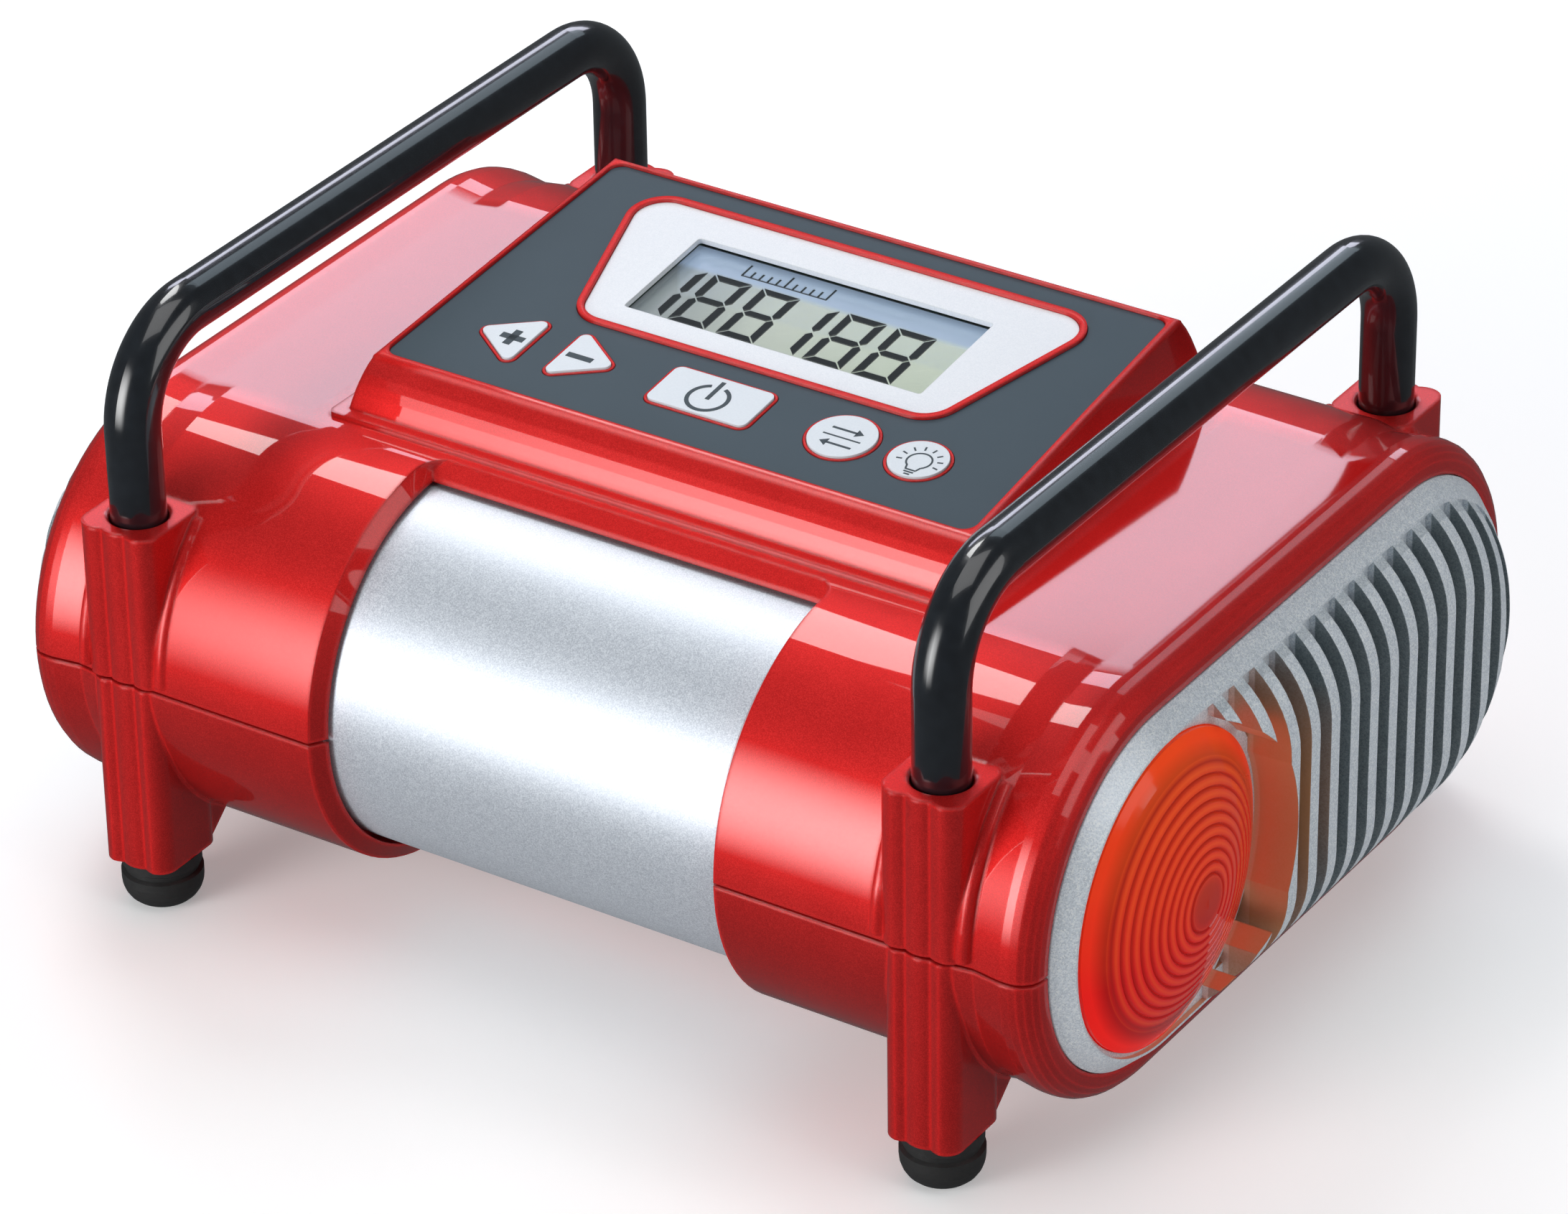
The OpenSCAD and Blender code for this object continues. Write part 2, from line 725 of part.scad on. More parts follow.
module upper_casing() {
    color(casing_red) difference() {
        union() {
            difference() {
                union() {
                    intersection() {
                        body();
                        above(upper_z);
                    }
                    console(0);
                    ledge();
                }
                cavity();
                console(console_wall);
            }
            at_posts() upper_post();
            intersection() {
                union() {
                    ribs();
                    cradles();
                }
                above(upper_z);
            }
            bosses(axis_z, deck_z);
            on_panel(panel_under) at_standoffs() z_rod(standoff_r, board_top - panel_under, 1);
            on_panel(-overlay_t) display_lip();
        }
        at_posts() {
            z_rod(tube_r + bore_gap, leg_end_z, deck_z + 20);
            translate([0, 0, post_top_z - bore_soft]) cylinder(r1 = tube_r + bore_gap,
                r2 = tube_r + bore_gap + 2 * bore_soft, h = 2 * bore_soft);
            z_rod(handle_screw_r + 0.4, axis_z - 5, leg_end_z + eps);
        }
        at_case_screws() z_rod(case_screw_r + tap_gap, axis_z - 5, case_screw_top + 0.5);
        on_panel() {
            translate([0, 0, -overlay_t]) linear_extrude(10) difference() {
                overlay_plan(slip_gap / 2);
                lip_plan(0);
                button_rings(0);
            }
            translate([0, 0, ring_rise]) linear_extrude(10) button_rings(0.2);
            display_opening();
            for (b = [0 : 4])
                button_place(b) translate([0, 0, -10]) linear_extrude(20) button_plan(b, button_gap);
            at_standoffs() z_rod(board_screw_r + tap_gap, board_top - eps, panel_under - 0.6);
        }
        sleeve_window();
        back_holes();
        tongues(slip_gap / 2);
    }
}

module lower_casing() {
    color(casing_red) difference() {
        union() {
            difference() {
                union() {
                    intersection() {
                        body();
                        below(lower_z);
                    }
                    at_posts() lower_web();
                }
                cavity();
            }
            at_posts() lower_post();
            intersection() {
                union() {
                    ribs();
                    cradles();
                }
                below(lower_z);
            }
            tongues(0);
            bosses(axis_z - barrel_r, axis_z);
            at_mounts() z_rod(mount_r, floor_z - 1, floor_z + mount_boss_h);
        }
        at_posts() {
            z_rod(counterbore_r, post_bottom_z - eps, screw_seat_z);
            z_rod(handle_screw_r + 0.4, screw_seat_z - eps, axis_z + 5);
        }
        at_case_screws() {
            z_rod(case_bore_r, 0, case_seat_z);
            z_rod(case_screw_r + slip_gap, case_seat_z - eps, axis_z + 5);
        }
        at_mounts() z_rod(mount_screw_r + tap_gap, floor_z - 1.6, floor_z + mount_boss_h + eps);
        sleeve_window();
        back_holes();
    }
}

module silver_sleeve() {
    color("silver") intersection() {
        difference() {
            x_rod(-barrel_y, axis_z, sleeve_r, -sleeve_half, sleeve_half);
            x_rod(-barrel_y, axis_z, sleeve_r - sleeve_t, -sleeve_half - eps, sleeve_half + eps);
        }
        translate([-90, -120, 0]) cube([180, 120 + sleeve_back_y, 120]);
    }
}

// ---------- end caps and lamp ----------

// Fins that rise out of the rim, and run into it at their ends
module fins(first, last) {
    intersection() {
        oval_turn(concat([[0, seat_x - 1], [0, fin_x]],
            [for (i = [0 : 8]) [fin_flat_r + fin_round * sin(fin_sweep * i / 8),
                fin_x - fin_round * (1 - cos(fin_sweep * i / 8))]],
            [[rim_inner_r + 0.4, cap_x - 0.3], [rim_inner_r + 0.4, seat_x - 1]]));
        for (i = [first : last])
            translate([plate_x, fin_phase + i * fin_pitch - fin_t / 2, axis_z - barrel_r])
                cube([fin_x - plate_x + 1, fin_t, 2 * barrel_r]);
    }
}

module vent_slots(first, last) {
    intersection() {
        barrels(slot_r, plate_x - eps, seat_x + eps);
        for (i = [first : last - 1])
            translate([plate_x - 1, fin_phase + i * fin_pitch + fin_t / 2, axis_z - barrel_r])
                cube([cap_plate + 2, fin_pitch - fin_t, 2 * barrel_r]);
    }
}

module cap_shell() {
    oval_turn([[0, plate_x], [0, seat_x], [rim_inner_r, seat_x], [rim_inner_r, cap_x],
        [rim_inner_r + 0.5, cap_x], [cap_r, casing_half + 0.2], [cap_r, cap_flange_x],
        [cap_flange_r, cap_flange_x], [cap_flange_r, cap_back_x], [pocket_r, cap_back_x],
        [pocket_r, plate_x]]);
}

module left_end_cap() {
    color("silver") mirror([1, 0, 0]) {
        difference() {
            cap_shell();
            vent_slots(-fin_count, fin_count);
        }
        fins(-fin_count, fin_count);
    }
}

// Room for the lamp, right through the cap
module lamp_round(r) {
    x_rod(-barrel_y, axis_z, r, cap_back_x - 1, fin_x + 1);
}

module right_end_cap() {
    color("silver") {
        difference() {
            cap_shell();
            difference() {
                vent_slots(first_lamp_fin, fin_count);
                lamp_round(clear_r + 1.2);
            }
            lamp_round(lens_r + 0.15);
        }
        difference() {
            fins(first_lamp_fin, fin_count);
            lamp_round(clear_r);
        }
    }
}

dome_h = fin_x - lens_base_x;
dome_r = (lens_r * lens_r + dome_h * dome_h) / (2 * dome_h);

// X of the lens's dome at a distance from its axis
function dome(r, back) = fin_x - dome_r + sqrt((dome_r - back) * (dome_r - back) - r * r);

module lamp_lens() {
    inner = lens_r - lens_t;
    color("orangered", 0.7) translate([0, -barrel_y, axis_z]) rotate([0, 90, 0])
        rotate_extrude() polygon(concat(
            [[0, dome(0, lens_t)], [0, dome(0, 0)]],
            [for (i = [0 : ring_count - 1], k = [-1 : 1]) let (r = ring_first + i * ring_pitch)
                [r + k * ring_half, dome(r + k * ring_half, 0) - (k == 0 ? ring_deep : 0)]],
            [for (i = [1 : 4]) let (r = ring_last + (lens_r - ring_last) * i / 4) [r, dome(r, 0)]],
            [[lens_r, plate_x], [lens_flange_r, plate_x], [lens_flange_r, bowl_x],
                [inner, bowl_x]],
            [for (i = [8 : -1 : 1]) let (r = inner * i / 8) [r, dome(r, lens_t)]]));
}

function bowl(d) = neck_r + (bowl_r - neck_r) * sqrt(d / bowl_depth);

module lamp_reflector() {
    back = bowl_depth - bowl_skirt;
    color("gainsboro") translate([0, -barrel_y, axis_z]) rotate([0, 90, 0])
        rotate_extrude() polygon(concat(
            [[neck_r, neck_x - neck_len]],
            [for (i = [0 : 8]) let (d = bowl_depth * i * i / 64) [bowl(d), neck_x + d]],
            [[lens_flange_r, bowl_x], [lens_flange_r, cap_back_x + 0.1],
                [lens_flange_r - bowl_skirt, cap_back_x + 0.1],
                [lens_flange_r - bowl_skirt, bowl_x - bowl_skirt]],
            [for (i = [8 : -1 : 1]) let (d = back * i * i / 64) [bowl(d) + bowl_t, neck_x + d]],
            [[neck_r + bowl_t, neck_x - neck_len]]));
}

module lamp_bulb() {
    color("ivory") {
        x_rod(-barrel_y, axis_z, bulb_base_r, neck_x - 5, neck_x + 4);
        translate([neck_x + 6, -barrel_y, axis_z]) sphere(bulb_r);
    }
}

module bulb_holder() {
    color("dimgray") difference() {
        x_rod(-barrel_y, axis_z, neck_r - press_gap, neck_x - holder_len, neck_x - 1);
        x_rod(-barrel_y, axis_z, bulb_base_r + press_gap, neck_x - 5, neck_x);
    }
}

// ---------- handles, feet and casing screws ----------

module tube_path(r) {
    bend_z = bar_z - bend_r;
    for (s = [-1, 1])
        translate([0, s * post_y, 0]) {
            z_rod(r, leg_end_z, bend_z);
            translate([0, -s * bend_r, bend_z]) rotate([90, 0, s > 0 ? 90 : -90])
                rotate_extrude(angle = 90) translate([bend_r, 0]) circle(r);
        }
    y_rod(0, bar_z, r, bend_r - post_y, post_y - bend_r);
}

module handle() {
    difference() {
        tube_path(tube_r);
        tube_path(tube_r - tube_wall);
        for (s = [-1, 1])
            translate([0, s * post_y, 0]) z_rod(tube_r - tube_wall, leg_end_z - eps, leg_end_z + 1);
    }
}

module left_handle() {
    color("black") translate([-post_x, 0, 0]) handle();
}

module right_handle() {
    color("black") translate([post_x, 0, 0]) handle();
}

module handle_inserts() {
    color("goldenrod") at_posts() difference() {
        z_rod(tube_r - tube_wall - press_gap, leg_end_z, leg_end_z + insert_len);
        z_rod(handle_screw_r + tap_gap, leg_end_z - eps, leg_end_z + insert_len + eps);
    }
}

module handle_screws() {
    color("silver") at_posts() difference() {
        union() {
            z_rod(handle_screw_r, screw_seat_z - 1, leg_end_z + insert_len - 2);
            z_rod(head_r, screw_seat_z - head_h, screw_seat_z);
        }
        for (a = [0, 90])
            rotate([0, 0, a]) translate([-2, -0.5, screw_seat_z - head_h - eps])
                cube([4, 1, 1.4 + eps]);
    }
}

module rubber_feet() {
    round_h = 4.6;
    color("black") at_posts() rotate_extrude() polygon(concat([[0, 0]],
        [for (i = [0 : 6]) [foot_flat_r + (foot_r - foot_flat_r) * sin(15 * i),
            round_h * (1 - cos(15 * i))]],
        [[foot_r, 6.2], [foot_r - 0.7, 6.6], [foot_r - 0.7, 7.4], [foot_r - 0.2, 7.8],
            [foot_r - 0.2, post_bottom_z], [counterbore_r - press_gap, post_bottom_z],
            [counterbore_r - press_gap, post_bottom_z + foot_plug], [0, post_bottom_z + foot_plug]]));
}

module casing_screws() {
    color("silver") at_case_screws() difference() {
        union() {
            z_rod(case_screw_r, case_seat_z - 1, case_screw_top);
            z_rod(case_head_r, case_seat_z - case_head_h, case_seat_z);
        }
        for (a = [0, 90])
            rotate([0, 0, a]) translate([-1.6, -0.4, case_seat_z - case_head_h - eps])
                cube([3.2, 0.8, 1.1 + eps]);
    }
}

// ---------- console ----------

module overlay_plan(grow) {
    front = panel_half - panel_corner_r;
    back = panel_back_half - panel_corner_r;
    rounded([[-front, panel_corner_r], [front, panel_corner_r],
        [back, panel_d - panel_corner_r], [-back, panel_d - panel_corner_r]], panel_corner_r + grow);
}

// Display outline, drawn in from the outside of the lip
module lip_plan(inset) {
    rounded(lip_corners, lip_r - inset);
}

// Raised lip round the display, part of the upper casing
module display_lip() {
    linear_extrude(overlay_t + lip_rise) lip_plan(0);
}

// Outlines of the casing's rings round the buttons, grown by a margin
module button_rings(grow) {
    for (b = [0 : 4])
        button_place(b) button_plan(b, button_gap + ring_w + grow);
}

module display_opening() {
    translate([0, 0, -bezel_t]) linear_extrude(10) lip_plan(lip_w);
    translate([0, 0, panel_under - eps]) linear_extrude(10) lip_plan(lip_w + bezel_seat);
}

module button_place(b) {
    places = [[plus_x, 180], [minus_x, 0], [power_x, 0], [unit_x, 0], [light_x, 0]];
    translate([places[b][0], button_v, 0]) rotate([0, 0, places[b][1]]) children();
}

// Outlines of the plus, minus, power, unit and light buttons, grown by a margin
module button_plan(b, grow) {
    if (b < 2)
        rounded([[arrow_r, arrow_r - arrow_side / 2], [arrow_len - 2 * arrow_r, 0],
            [arrow_r, arrow_side / 2 - arrow_r]], arrow_r + grow);
    if (b == 2)
        rounded_box(-power_w / 2 - grow, -power_d / 2 - grow, power_w / 2 + grow,
            power_d / 2 + grow, power_r + grow);
    if (b == 3)
        circle(unit_r + grow);
    if (b == 4)
        circle(light_r + grow);
}

module button(b) {
    stem = panel_under - flange_t - (board_top + switch_h + button_travel + 0.05);
    color("white") on_panel() button_place(b) {
        translate([0, 0, panel_under]) linear_extrude(button_rise - panel_under) button_plan(b, 0);
        translate([0, 0, panel_under - flange_t]) linear_extrude(flange_t) button_plan(b, flange_w);
        translate([b < 2 ? 4 : 0, 0, panel_under - flange_t - stem]) cylinder(r = 2, h = stem + 0.5);
    }
}

module plus_button() {
    button(0);
}

module minus_button() {
    button(1);
}

module power_button() {
    button(2);
}

module unit_button() {
    button(3);
}

module light_button() {
    button(4);
}

module control_overlay() {
    color("darkslategray") on_panel(-overlay_t) linear_extrude(overlay_t) difference() {
        overlay_plan(0);
        lip_plan(-slip_gap / 2);
        button_rings(slip_gap / 2);
    }
}

module display_bezel() {
    color("silver") on_panel(-bezel_t) linear_extrude(bezel_t) difference() {
        lip_plan(lip_w + slip_gap / 2);
        translate([0, display_v]) rounded_box(-glass_w / 2, -glass_d / 2, glass_w / 2, glass_d / 2,
            glass_corner_r);
    }
}

module display_window() {
    w = glass_w / 2 + glass_hold;
    d = glass_d / 2 + glass_hold;
    color("lightsteelblue", 0.6) on_panel(-bezel_t - glass_t) linear_extrude(glass_t)
        translate([0, display_v]) rounded_box(-w, -d, w, d, 2);
}

module lcd_panel() {
    w = glass_w / 2 + 0.8;
    d = glass_d / 2 + 0.8;
    color("steelblue") on_panel(board_top) translate([-w, display_v - d, 0]) cube([2 * w, 2 * d, lcd_t]);
}

module circuit_board() {
    color("seagreen") on_panel(board_top - board_t) linear_extrude(board_t) difference() {
        translate([-board_w / 2, board_front]) square([board_w, board_back - board_front]);
        at_standoffs() circle(board_screw_r + slip_gap);
    }
}

module board_screws() {
    under = board_top - board_t;
    color("silver") on_panel() at_standoffs() {
        z_rod(board_screw_r, under - 0.5, panel_under - 1.2);
        z_rod(2, under - 1.4, under);
    }
}

module tact_switches() {
    color("dimgray") on_panel(board_top) for (b = [0 : 4])
        button_place(b) translate([b < 2 ? 4 : 0, 0, 0]) {
            translate([-switch_w / 2, -switch_w / 2, 0]) cube([switch_w, switch_w, switch_h - 0.4]);
            cylinder(r = 1.7, h = switch_h);
        }
}

module pressure_sensor() {
    under = board_top - board_t;
    y = panel_point(sensor_v, under)[0];
    z = panel_point(sensor_v, under)[1];
    color("dimgray") {
        on_panel(under - sensor_t) translate([cyl_x - sensor_w / 2, sensor_v - sensor_w / 2, 0])
            cube([sensor_w, sensor_w, sensor_t]);
        translate([cyl_x, y + 0.7, 0]) z_rod(sensor_bore - press_gap, z - sensor_t - sensor_port,
            z - sensor_t + 1);
    }
}

// Path of the tube from the cylinder head to the sensor
module sensor_run(r) {
    head_y = cylinder_end + head_plate_t + chamber_t / 2;
    port_y = panel_point(sensor_v, board_top - board_t)[0] + 0.7;
    port_z = panel_point(sensor_v, board_top - board_t)[1] - sensor_t - 1;
    level = deck_z - wall - 7.3;
    translate([cyl_x, 0, 0]) {
        translate([0, head_y, 0]) z_rod(r, axis_z + chamber_r + 1, level - sensor_bend);
        translate([0, head_y - sensor_bend, level - sensor_bend]) rotate([90, 0, 90])
            rotate_extrude(angle = 90) translate([sensor_bend, 0]) circle(r, $fn = 32);
        y_rod(0, level, r, port_y + sensor_bend, head_y - sensor_bend);
        translate([0, port_y + sensor_bend, level + sensor_bend]) rotate([90, 0, 90])
            rotate([0, 0, 180]) rotate_extrude(angle = 90) translate([sensor_bend, 0])
            circle(r, $fn = 32);
        translate([0, port_y, 0]) z_rod(r, level + sensor_bend, port_z);
    }
}

module sensor_tube() {
    color("lightgray") difference() {
        sensor_run(sensor_tube_r);
        sensor_run(sensor_bore);
        sensor_ends();
    }
}

// Opens the ends of the tube's bore
module sensor_ends() {
    head_y = cylinder_end + head_plate_t + chamber_t / 2;
    port_y = panel_point(sensor_v, board_top - board_t)[0] + 0.7;
    port_z = panel_point(sensor_v, board_top - board_t)[1] - sensor_t - 1;
    translate([cyl_x, head_y, 0]) z_rod(sensor_bore, axis_z + chamber_r, axis_z + chamber_r + 2);
    translate([cyl_x, port_y, 0]) z_rod(sensor_bore, port_z - 1, port_z + 1);
}

// ---------- motor ----------

module motor_can() {
    color("silver") difference() {
        x_rod(motor_y, axis_z, motor_r, motor_back, frame_x);
        x_rod(motor_y, axis_z, motor_r - can_wall, motor_back - eps, frame_x - can_front_t);
        x_rod(motor_y, axis_z, bush_r + press_gap, frame_x - 5, frame_x + eps);
        for (s = [-1, 1])
            x_rod(motor_y, axis_z + s * motor_screw_z, 1.25 + tap_gap, frame_x - 5, frame_x + eps);
    }
}

module motor_magnets() {
    outer = motor_r - can_wall - press_gap;
    color("dimgray") intersection() {
        difference() {
            x_rod(motor_y, axis_z, outer, motor_back + 9, frame_x - 9);
            x_rod(motor_y, axis_z, outer - magnet_t, motor_back, frame_x);
        }
        for (s = [-1, 1])
            translate([-100, motor_y - outer * 0.75, axis_z + s * 12 - 9]) cube([120, outer * 1.5, 18]);
    }
}

module motor_bushes() {
    color("goldenrod") for (x = [motor_back, frame_x - bush_len])
        difference() {
            x_rod(motor_y, axis_z, bush_r, x, x + bush_len);
            x_rod(motor_y, axis_z, shaft_r + run_gap, x - eps, x + bush_len + eps);
        }
}

module motor_end_plate() {
    color("dimgray") difference() {
        x_rod(motor_y, axis_z, motor_r - can_wall - press_gap, motor_back, motor_back + end_plate_t);
        x_rod(motor_y, axis_z, bush_r + press_gap, motor_back - eps, motor_back + end_plate_t + eps);
    }
}

module motor_screws() {
    color("silver") for (s = [-1, 1]) {
        x_rod(motor_y, axis_z + s * motor_screw_z, 1.25, frame_x - 3.5, frame_x + frame_t + 0.5);
        x_rod(motor_y, axis_z + s * motor_screw_z, 2.3, frame_x + frame_t, frame_x + frame_t + 1.8);
    }
}

module motor_armature() {
    front = frame_x - 11;
    back = motor_back + 11;
    color("peru") difference() {
        union() {
            x_rod(motor_y, axis_z, armature_r, back, front);
            x_rod(motor_y, axis_z, 4.5, back - 5, back + 1);
        }
        x_rod(motor_y, axis_z, shaft_r + press_gap, back - 6, front + eps);
        for (a = [30 : 120 : 270])
            translate([back - eps, motor_y, axis_z]) rotate([a, 0, 0])
                translate([0, armature_r - 3.5, -1.2]) cube([front - back + 2 * eps, 6, 2.4]);
    }
}

module motor_shaft() {
    color("silver") x_rod(motor_y, axis_z, shaft_r, fan_x - 1, gear_x + gear_width);
}

module cooling_fan() {
    color("dimgray") difference() {
        union() {
            x_rod(motor_y, axis_z, fan_hub_r, fan_x, fan_x + fan_t);
            intersection() {
                x_rod(motor_y, axis_z, fan_r, fan_x, fan_x + fan_t);
                for (i = [0 : fan_blades - 1])
                    translate([fan_x + fan_t / 2, motor_y, axis_z]) rotate([i * 360 / fan_blades, 0, 0])
                        rotate([0, 0, 35]) translate([-0.7, -6, fan_hub_r - 1]) cube([1.4, 12, fan_r]);
            }
        }
        x_rod(motor_y, axis_z, shaft_r + press_gap, fan_x - eps, fan_x + fan_t + eps);
    }
}

// ---------- gears, crank and pump ----------

function inv(a) = tan(a) * 180 / pi - a;

// Half the angle a tooth covers at a radius
function tooth_half(teeth, r) = let (base = gear_module * teeth / 2 * cos(20))
    90 / teeth - backlash / (gear_module * teeth) * 180 / pi + inv(20)
    - (r > base ? inv(acos(base / r)) : 0);

module gear_plan(teeth, turn) {
    pitch_r = gear_module * teeth / 2;
    root = pitch_r - 1.25 * gear_module;
    top = pitch_r + gear_module;
    base = pitch_r * cos(20);
    low = max(root, base);
    steps = [root, low, low + (top - low) * 0.3, low + (top - low) * 0.65, top];
    polygon([for (i = [0 : teeth - 1], k = [0 : 9])
        let (s = k < 5 ? -1 : 1, r = steps[k < 5 ? k : 9 - k],
            a = turn + 360 * i / teeth + s * tooth_half(teeth, r))
        r * [cos(a), sin(a)]]);
}

module drive_pinion() {
    color("goldenrod") difference() {
        translate([0, motor_y, axis_z]) along_x(gear_x, gear_x + gear_width)
            gear_plan(pinion_teeth, 0);
        x_rod(motor_y, axis_z, shaft_r + press_gap, gear_x - eps, gear_x + gear_width + eps);
    }
}

module crank_gear() {
    turn = crank_teeth % 2 == 0 ? 180 / crank_teeth : 0;
    color("ivory") difference() {
        translate([0, gear_y, axis_z]) along_x(gear_x, gear_x + gear_width)
            gear_plan(crank_teeth, turn);
        x_rod(gear_y, axis_z, axle_r + press_gap, gear_x - eps, gear_x + gear_width + eps);
        x_rod(crank_y, axis_z, crank_pin_r + press_gap, gear_x - eps, gear_x + gear_width + eps);
        for (a = [-60, 0, 60])
            translate([0, gear_y + 12 * cos(a), axis_z + 12 * sin(a)]) x_rod(0, 0, 3.5,
                gear_x - eps, gear_x + gear_width + eps);
    }
}

module gear_axle() {
    color("silver") {
        x_rod(gear_y, axis_z, axle_r, axle_end_x - 1.2, gear_x + gear_width);
        x_rod(gear_y, axis_z, axle_head_r, axle_end_x - 1.2, axle_end_x - 0.1);
    }
}

module crank_pin() {
    color("silver") {
        x_rod(crank_y, axis_z, crank_pin_r, gear_x, rod_x + rod_t + 1.2);
        x_rod(crank_y, axis_z, crank_pin_r + 1.2, rod_x + rod_t + 0.2, rod_x + rod_t + 1.2);
    }
}

module connecting_rod() {
    color("lightgray") difference() {
        translate([0, 0, axis_z]) {
            x_rod(crank_y, 0, big_end_r, rod_x, rod_x + rod_t);
            x_rod(wrist_y, 0, small_end_r, rod_x, rod_x + rod_t);
            along_x(rod_x, rod_x + rod_t) polygon([[crank_y, -3.2], [wrist_y, -2.2],
                [wrist_y, 2.2], [crank_y, 3.2]]);
        }
        x_rod(crank_y, axis_z, crank_pin_r + run_gap, rod_x - eps, rod_x + rod_t + eps);
        x_rod(wrist_y, axis_z, wrist_pin_r + press_gap, rod_x - eps, rod_x + rod_t + eps);
    }
}

module wrist_pin() {
    color("silver") x_rod(wrist_y, axis_z, wrist_pin_r, cyl_x - wrist_pin_half, cyl_x + wrist_pin_half);
}

module piston() {
    ring_y = crown_y + crown_t - 3;
    color("lightgray") difference() {
        y_rod(cyl_x, axis_z, bore_r - piston_gap, skirt_y, crown_y + crown_t);
        y_rod(cyl_x, axis_z, bore_r - piston_wall, skirt_y - eps, crown_y);
        difference() {
            y_rod(cyl_x, axis_z, bore_r + 1, ring_y, ring_y + ring_t);
            y_rod(cyl_x, axis_z, groove_r, ring_y - eps, ring_y + ring_t + eps);
        }
    }
}

module piston_ring() {
    ring_y = crown_y + crown_t - 3 + 0.03;
    color("black") difference() {
        y_rod(cyl_x, axis_z, bore_r - 0.03, ring_y, ring_y + ring_t - 0.06);
        y_rod(cyl_x, axis_z, groove_r + press_gap, ring_y - eps, ring_y + ring_t + eps);
    }
}

module at_head_screws() {
    for (a = [45 : 90 : 315])
        translate([cyl_x + head_screw_ring * cos(a), 0, axis_z + head_screw_ring * sin(a)])
            children();
}

module pump_frame() {
    color("gray") difference() {
        union() {
            translate([frame_x, motor_y - frame_reach, frame_foot_z + 0.5])
                cube([frame_t, cylinder_y - motor_y + frame_reach, frame_h]);
            translate([frame_x, bridge_y, frame_foot_z + 0.5])
                cube([frame_right - frame_x, bridge_t, frame_h]);
            translate([frame_x, frame_front, frame_foot_z])
                cube([frame_right - frame_x, cylinder_y - frame_front, frame_foot_t]);
            x_rod(gear_y, axis_z, axle_r + 3.2, axle_end_x, frame_x + 1);
        }
        x_rod(motor_y, axis_z, 7.5, frame_x - eps, frame_x + frame_t + eps);
        x_rod(gear_y, axis_z, axle_r + run_gap, axle_end_x - eps, frame_x + frame_t + eps);
        for (s = [-1, 1])
            x_rod(motor_y, axis_z + s * motor_screw_z, 1.25 + slip_gap, frame_x - eps,
                frame_x + frame_t + eps);
        y_rod(cyl_x, axis_z, bridge_hole_r, bridge_y - eps, cylinder_y + eps);
        at_head_screws() y_rod(0, 0, head_screw_r + tap_gap, bridge_y - eps, cylinder_y + eps);
        at_mounts() z_rod(mount_screw_r + slip_gap, frame_foot_z - eps,
            frame_foot_z + frame_foot_t + eps);
    }
}

module pump_mounts() {
    color("black") at_mounts() difference() {
        z_rod(mount_r, floor_z + mount_boss_h, frame_foot_z);
        z_rod(mount_screw_r + slip_gap, floor_z, frame_foot_z + eps);
    }
}

module mount_screws() {
    seat = frame_foot_z + frame_foot_t;
    color("silver") at_mounts() {
        z_rod(mount_screw_r, floor_z - 1, seat + 0.5);
        z_rod(mount_head_r, seat, seat + 1.8);
    }
}

module pump_cylinder() {
    color("silver") difference() {
        union() {
            y_rod(cyl_x, axis_z, cylinder_r, cylinder_y, cylinder_end);
            for (i = [0 : 3])
                y_rod(cyl_x, axis_z, cylinder_r + 1, cylinder_y + 12 + 4 * i, cylinder_y + 13.2 + 4 * i);
        }
        y_rod(cyl_x, axis_z, bore_r, cylinder_y - eps, cylinder_end + eps);
    }
}

module cylinder_head() {
    plate_end = cylinder_end + head_plate_t;
    head_y = plate_end + chamber_t / 2;
    color("silver") difference() {
        union() {
            y_rod(cyl_x, axis_z, head_plate_r, cylinder_end, plate_end);
            y_rod(cyl_x, axis_z, chamber_r, plate_end - 1, head_end);
            y_rod(cyl_x, axis_z, spigot_r, head_end - 1, head_end + spigot_len);
            translate([cyl_x, head_y, 0]) z_rod(sensor_bore - press_gap, axis_z + chamber_r - 1,
                axis_z + chamber_r + 5);
        }
        y_rod(cyl_x, axis_z, chamber_r - 3, cylinder_end - eps, head_end - 2);
        y_rod(cyl_x, axis_z, spigot_bore, head_end - 4, head_end + spigot_len + eps);
        translate([cyl_x, head_y, 0]) z_rod(0.6, axis_z + 5, axis_z + chamber_r + 6);
        at_head_screws() y_rod(0, 0, head_screw_r + slip_gap, cylinder_end - eps, plate_end + eps);
    }
}

module head_screws() {
    plate_end = cylinder_end + head_plate_t;
    color("silver") at_head_screws() {
        y_rod(0, 0, head_screw_r, bridge_y, plate_end + 0.5);
        y_rod(0, 0, 2.4, plate_end, plate_end + 2);
    }
}

// ---------- back connections ----------

module air_pipe() {
    color("black") difference() {
        y_rod(cyl_x, axis_z, pipe_r, head_end + 0.1, outlet_back - 0.1);
        y_rod(cyl_x, axis_z, pipe_bore, head_end - eps, outlet_back + eps);
    }
}

// A round fitting in the back wall: body, and a flange between the wall and its cradle
module back_fitting(x, r) {
    y_rod(x, axis_z, r, outlet_back, outlet_face);
    y_rod(x, axis_z, r + fitting_flange, fitting_flange_y, fitting_flange_y + fitting_flange_t);
}

module air_outlet() {
    color("goldenrod") difference() {
        union() {
            back_fitting(cyl_x, outlet_r);
            y_rod(cyl_x, axis_z, spigot_r, outlet_back - spigot_len, outlet_back + 1);
        }
        y_rod(cyl_x, axis_z, outlet_bore_r, outlet_face - outlet_depth, outlet_face + eps);
        y_rod(cyl_x, axis_z, spigot_bore, outlet_back - spigot_len - eps,
            outlet_face - outlet_depth + 1);
    }
}

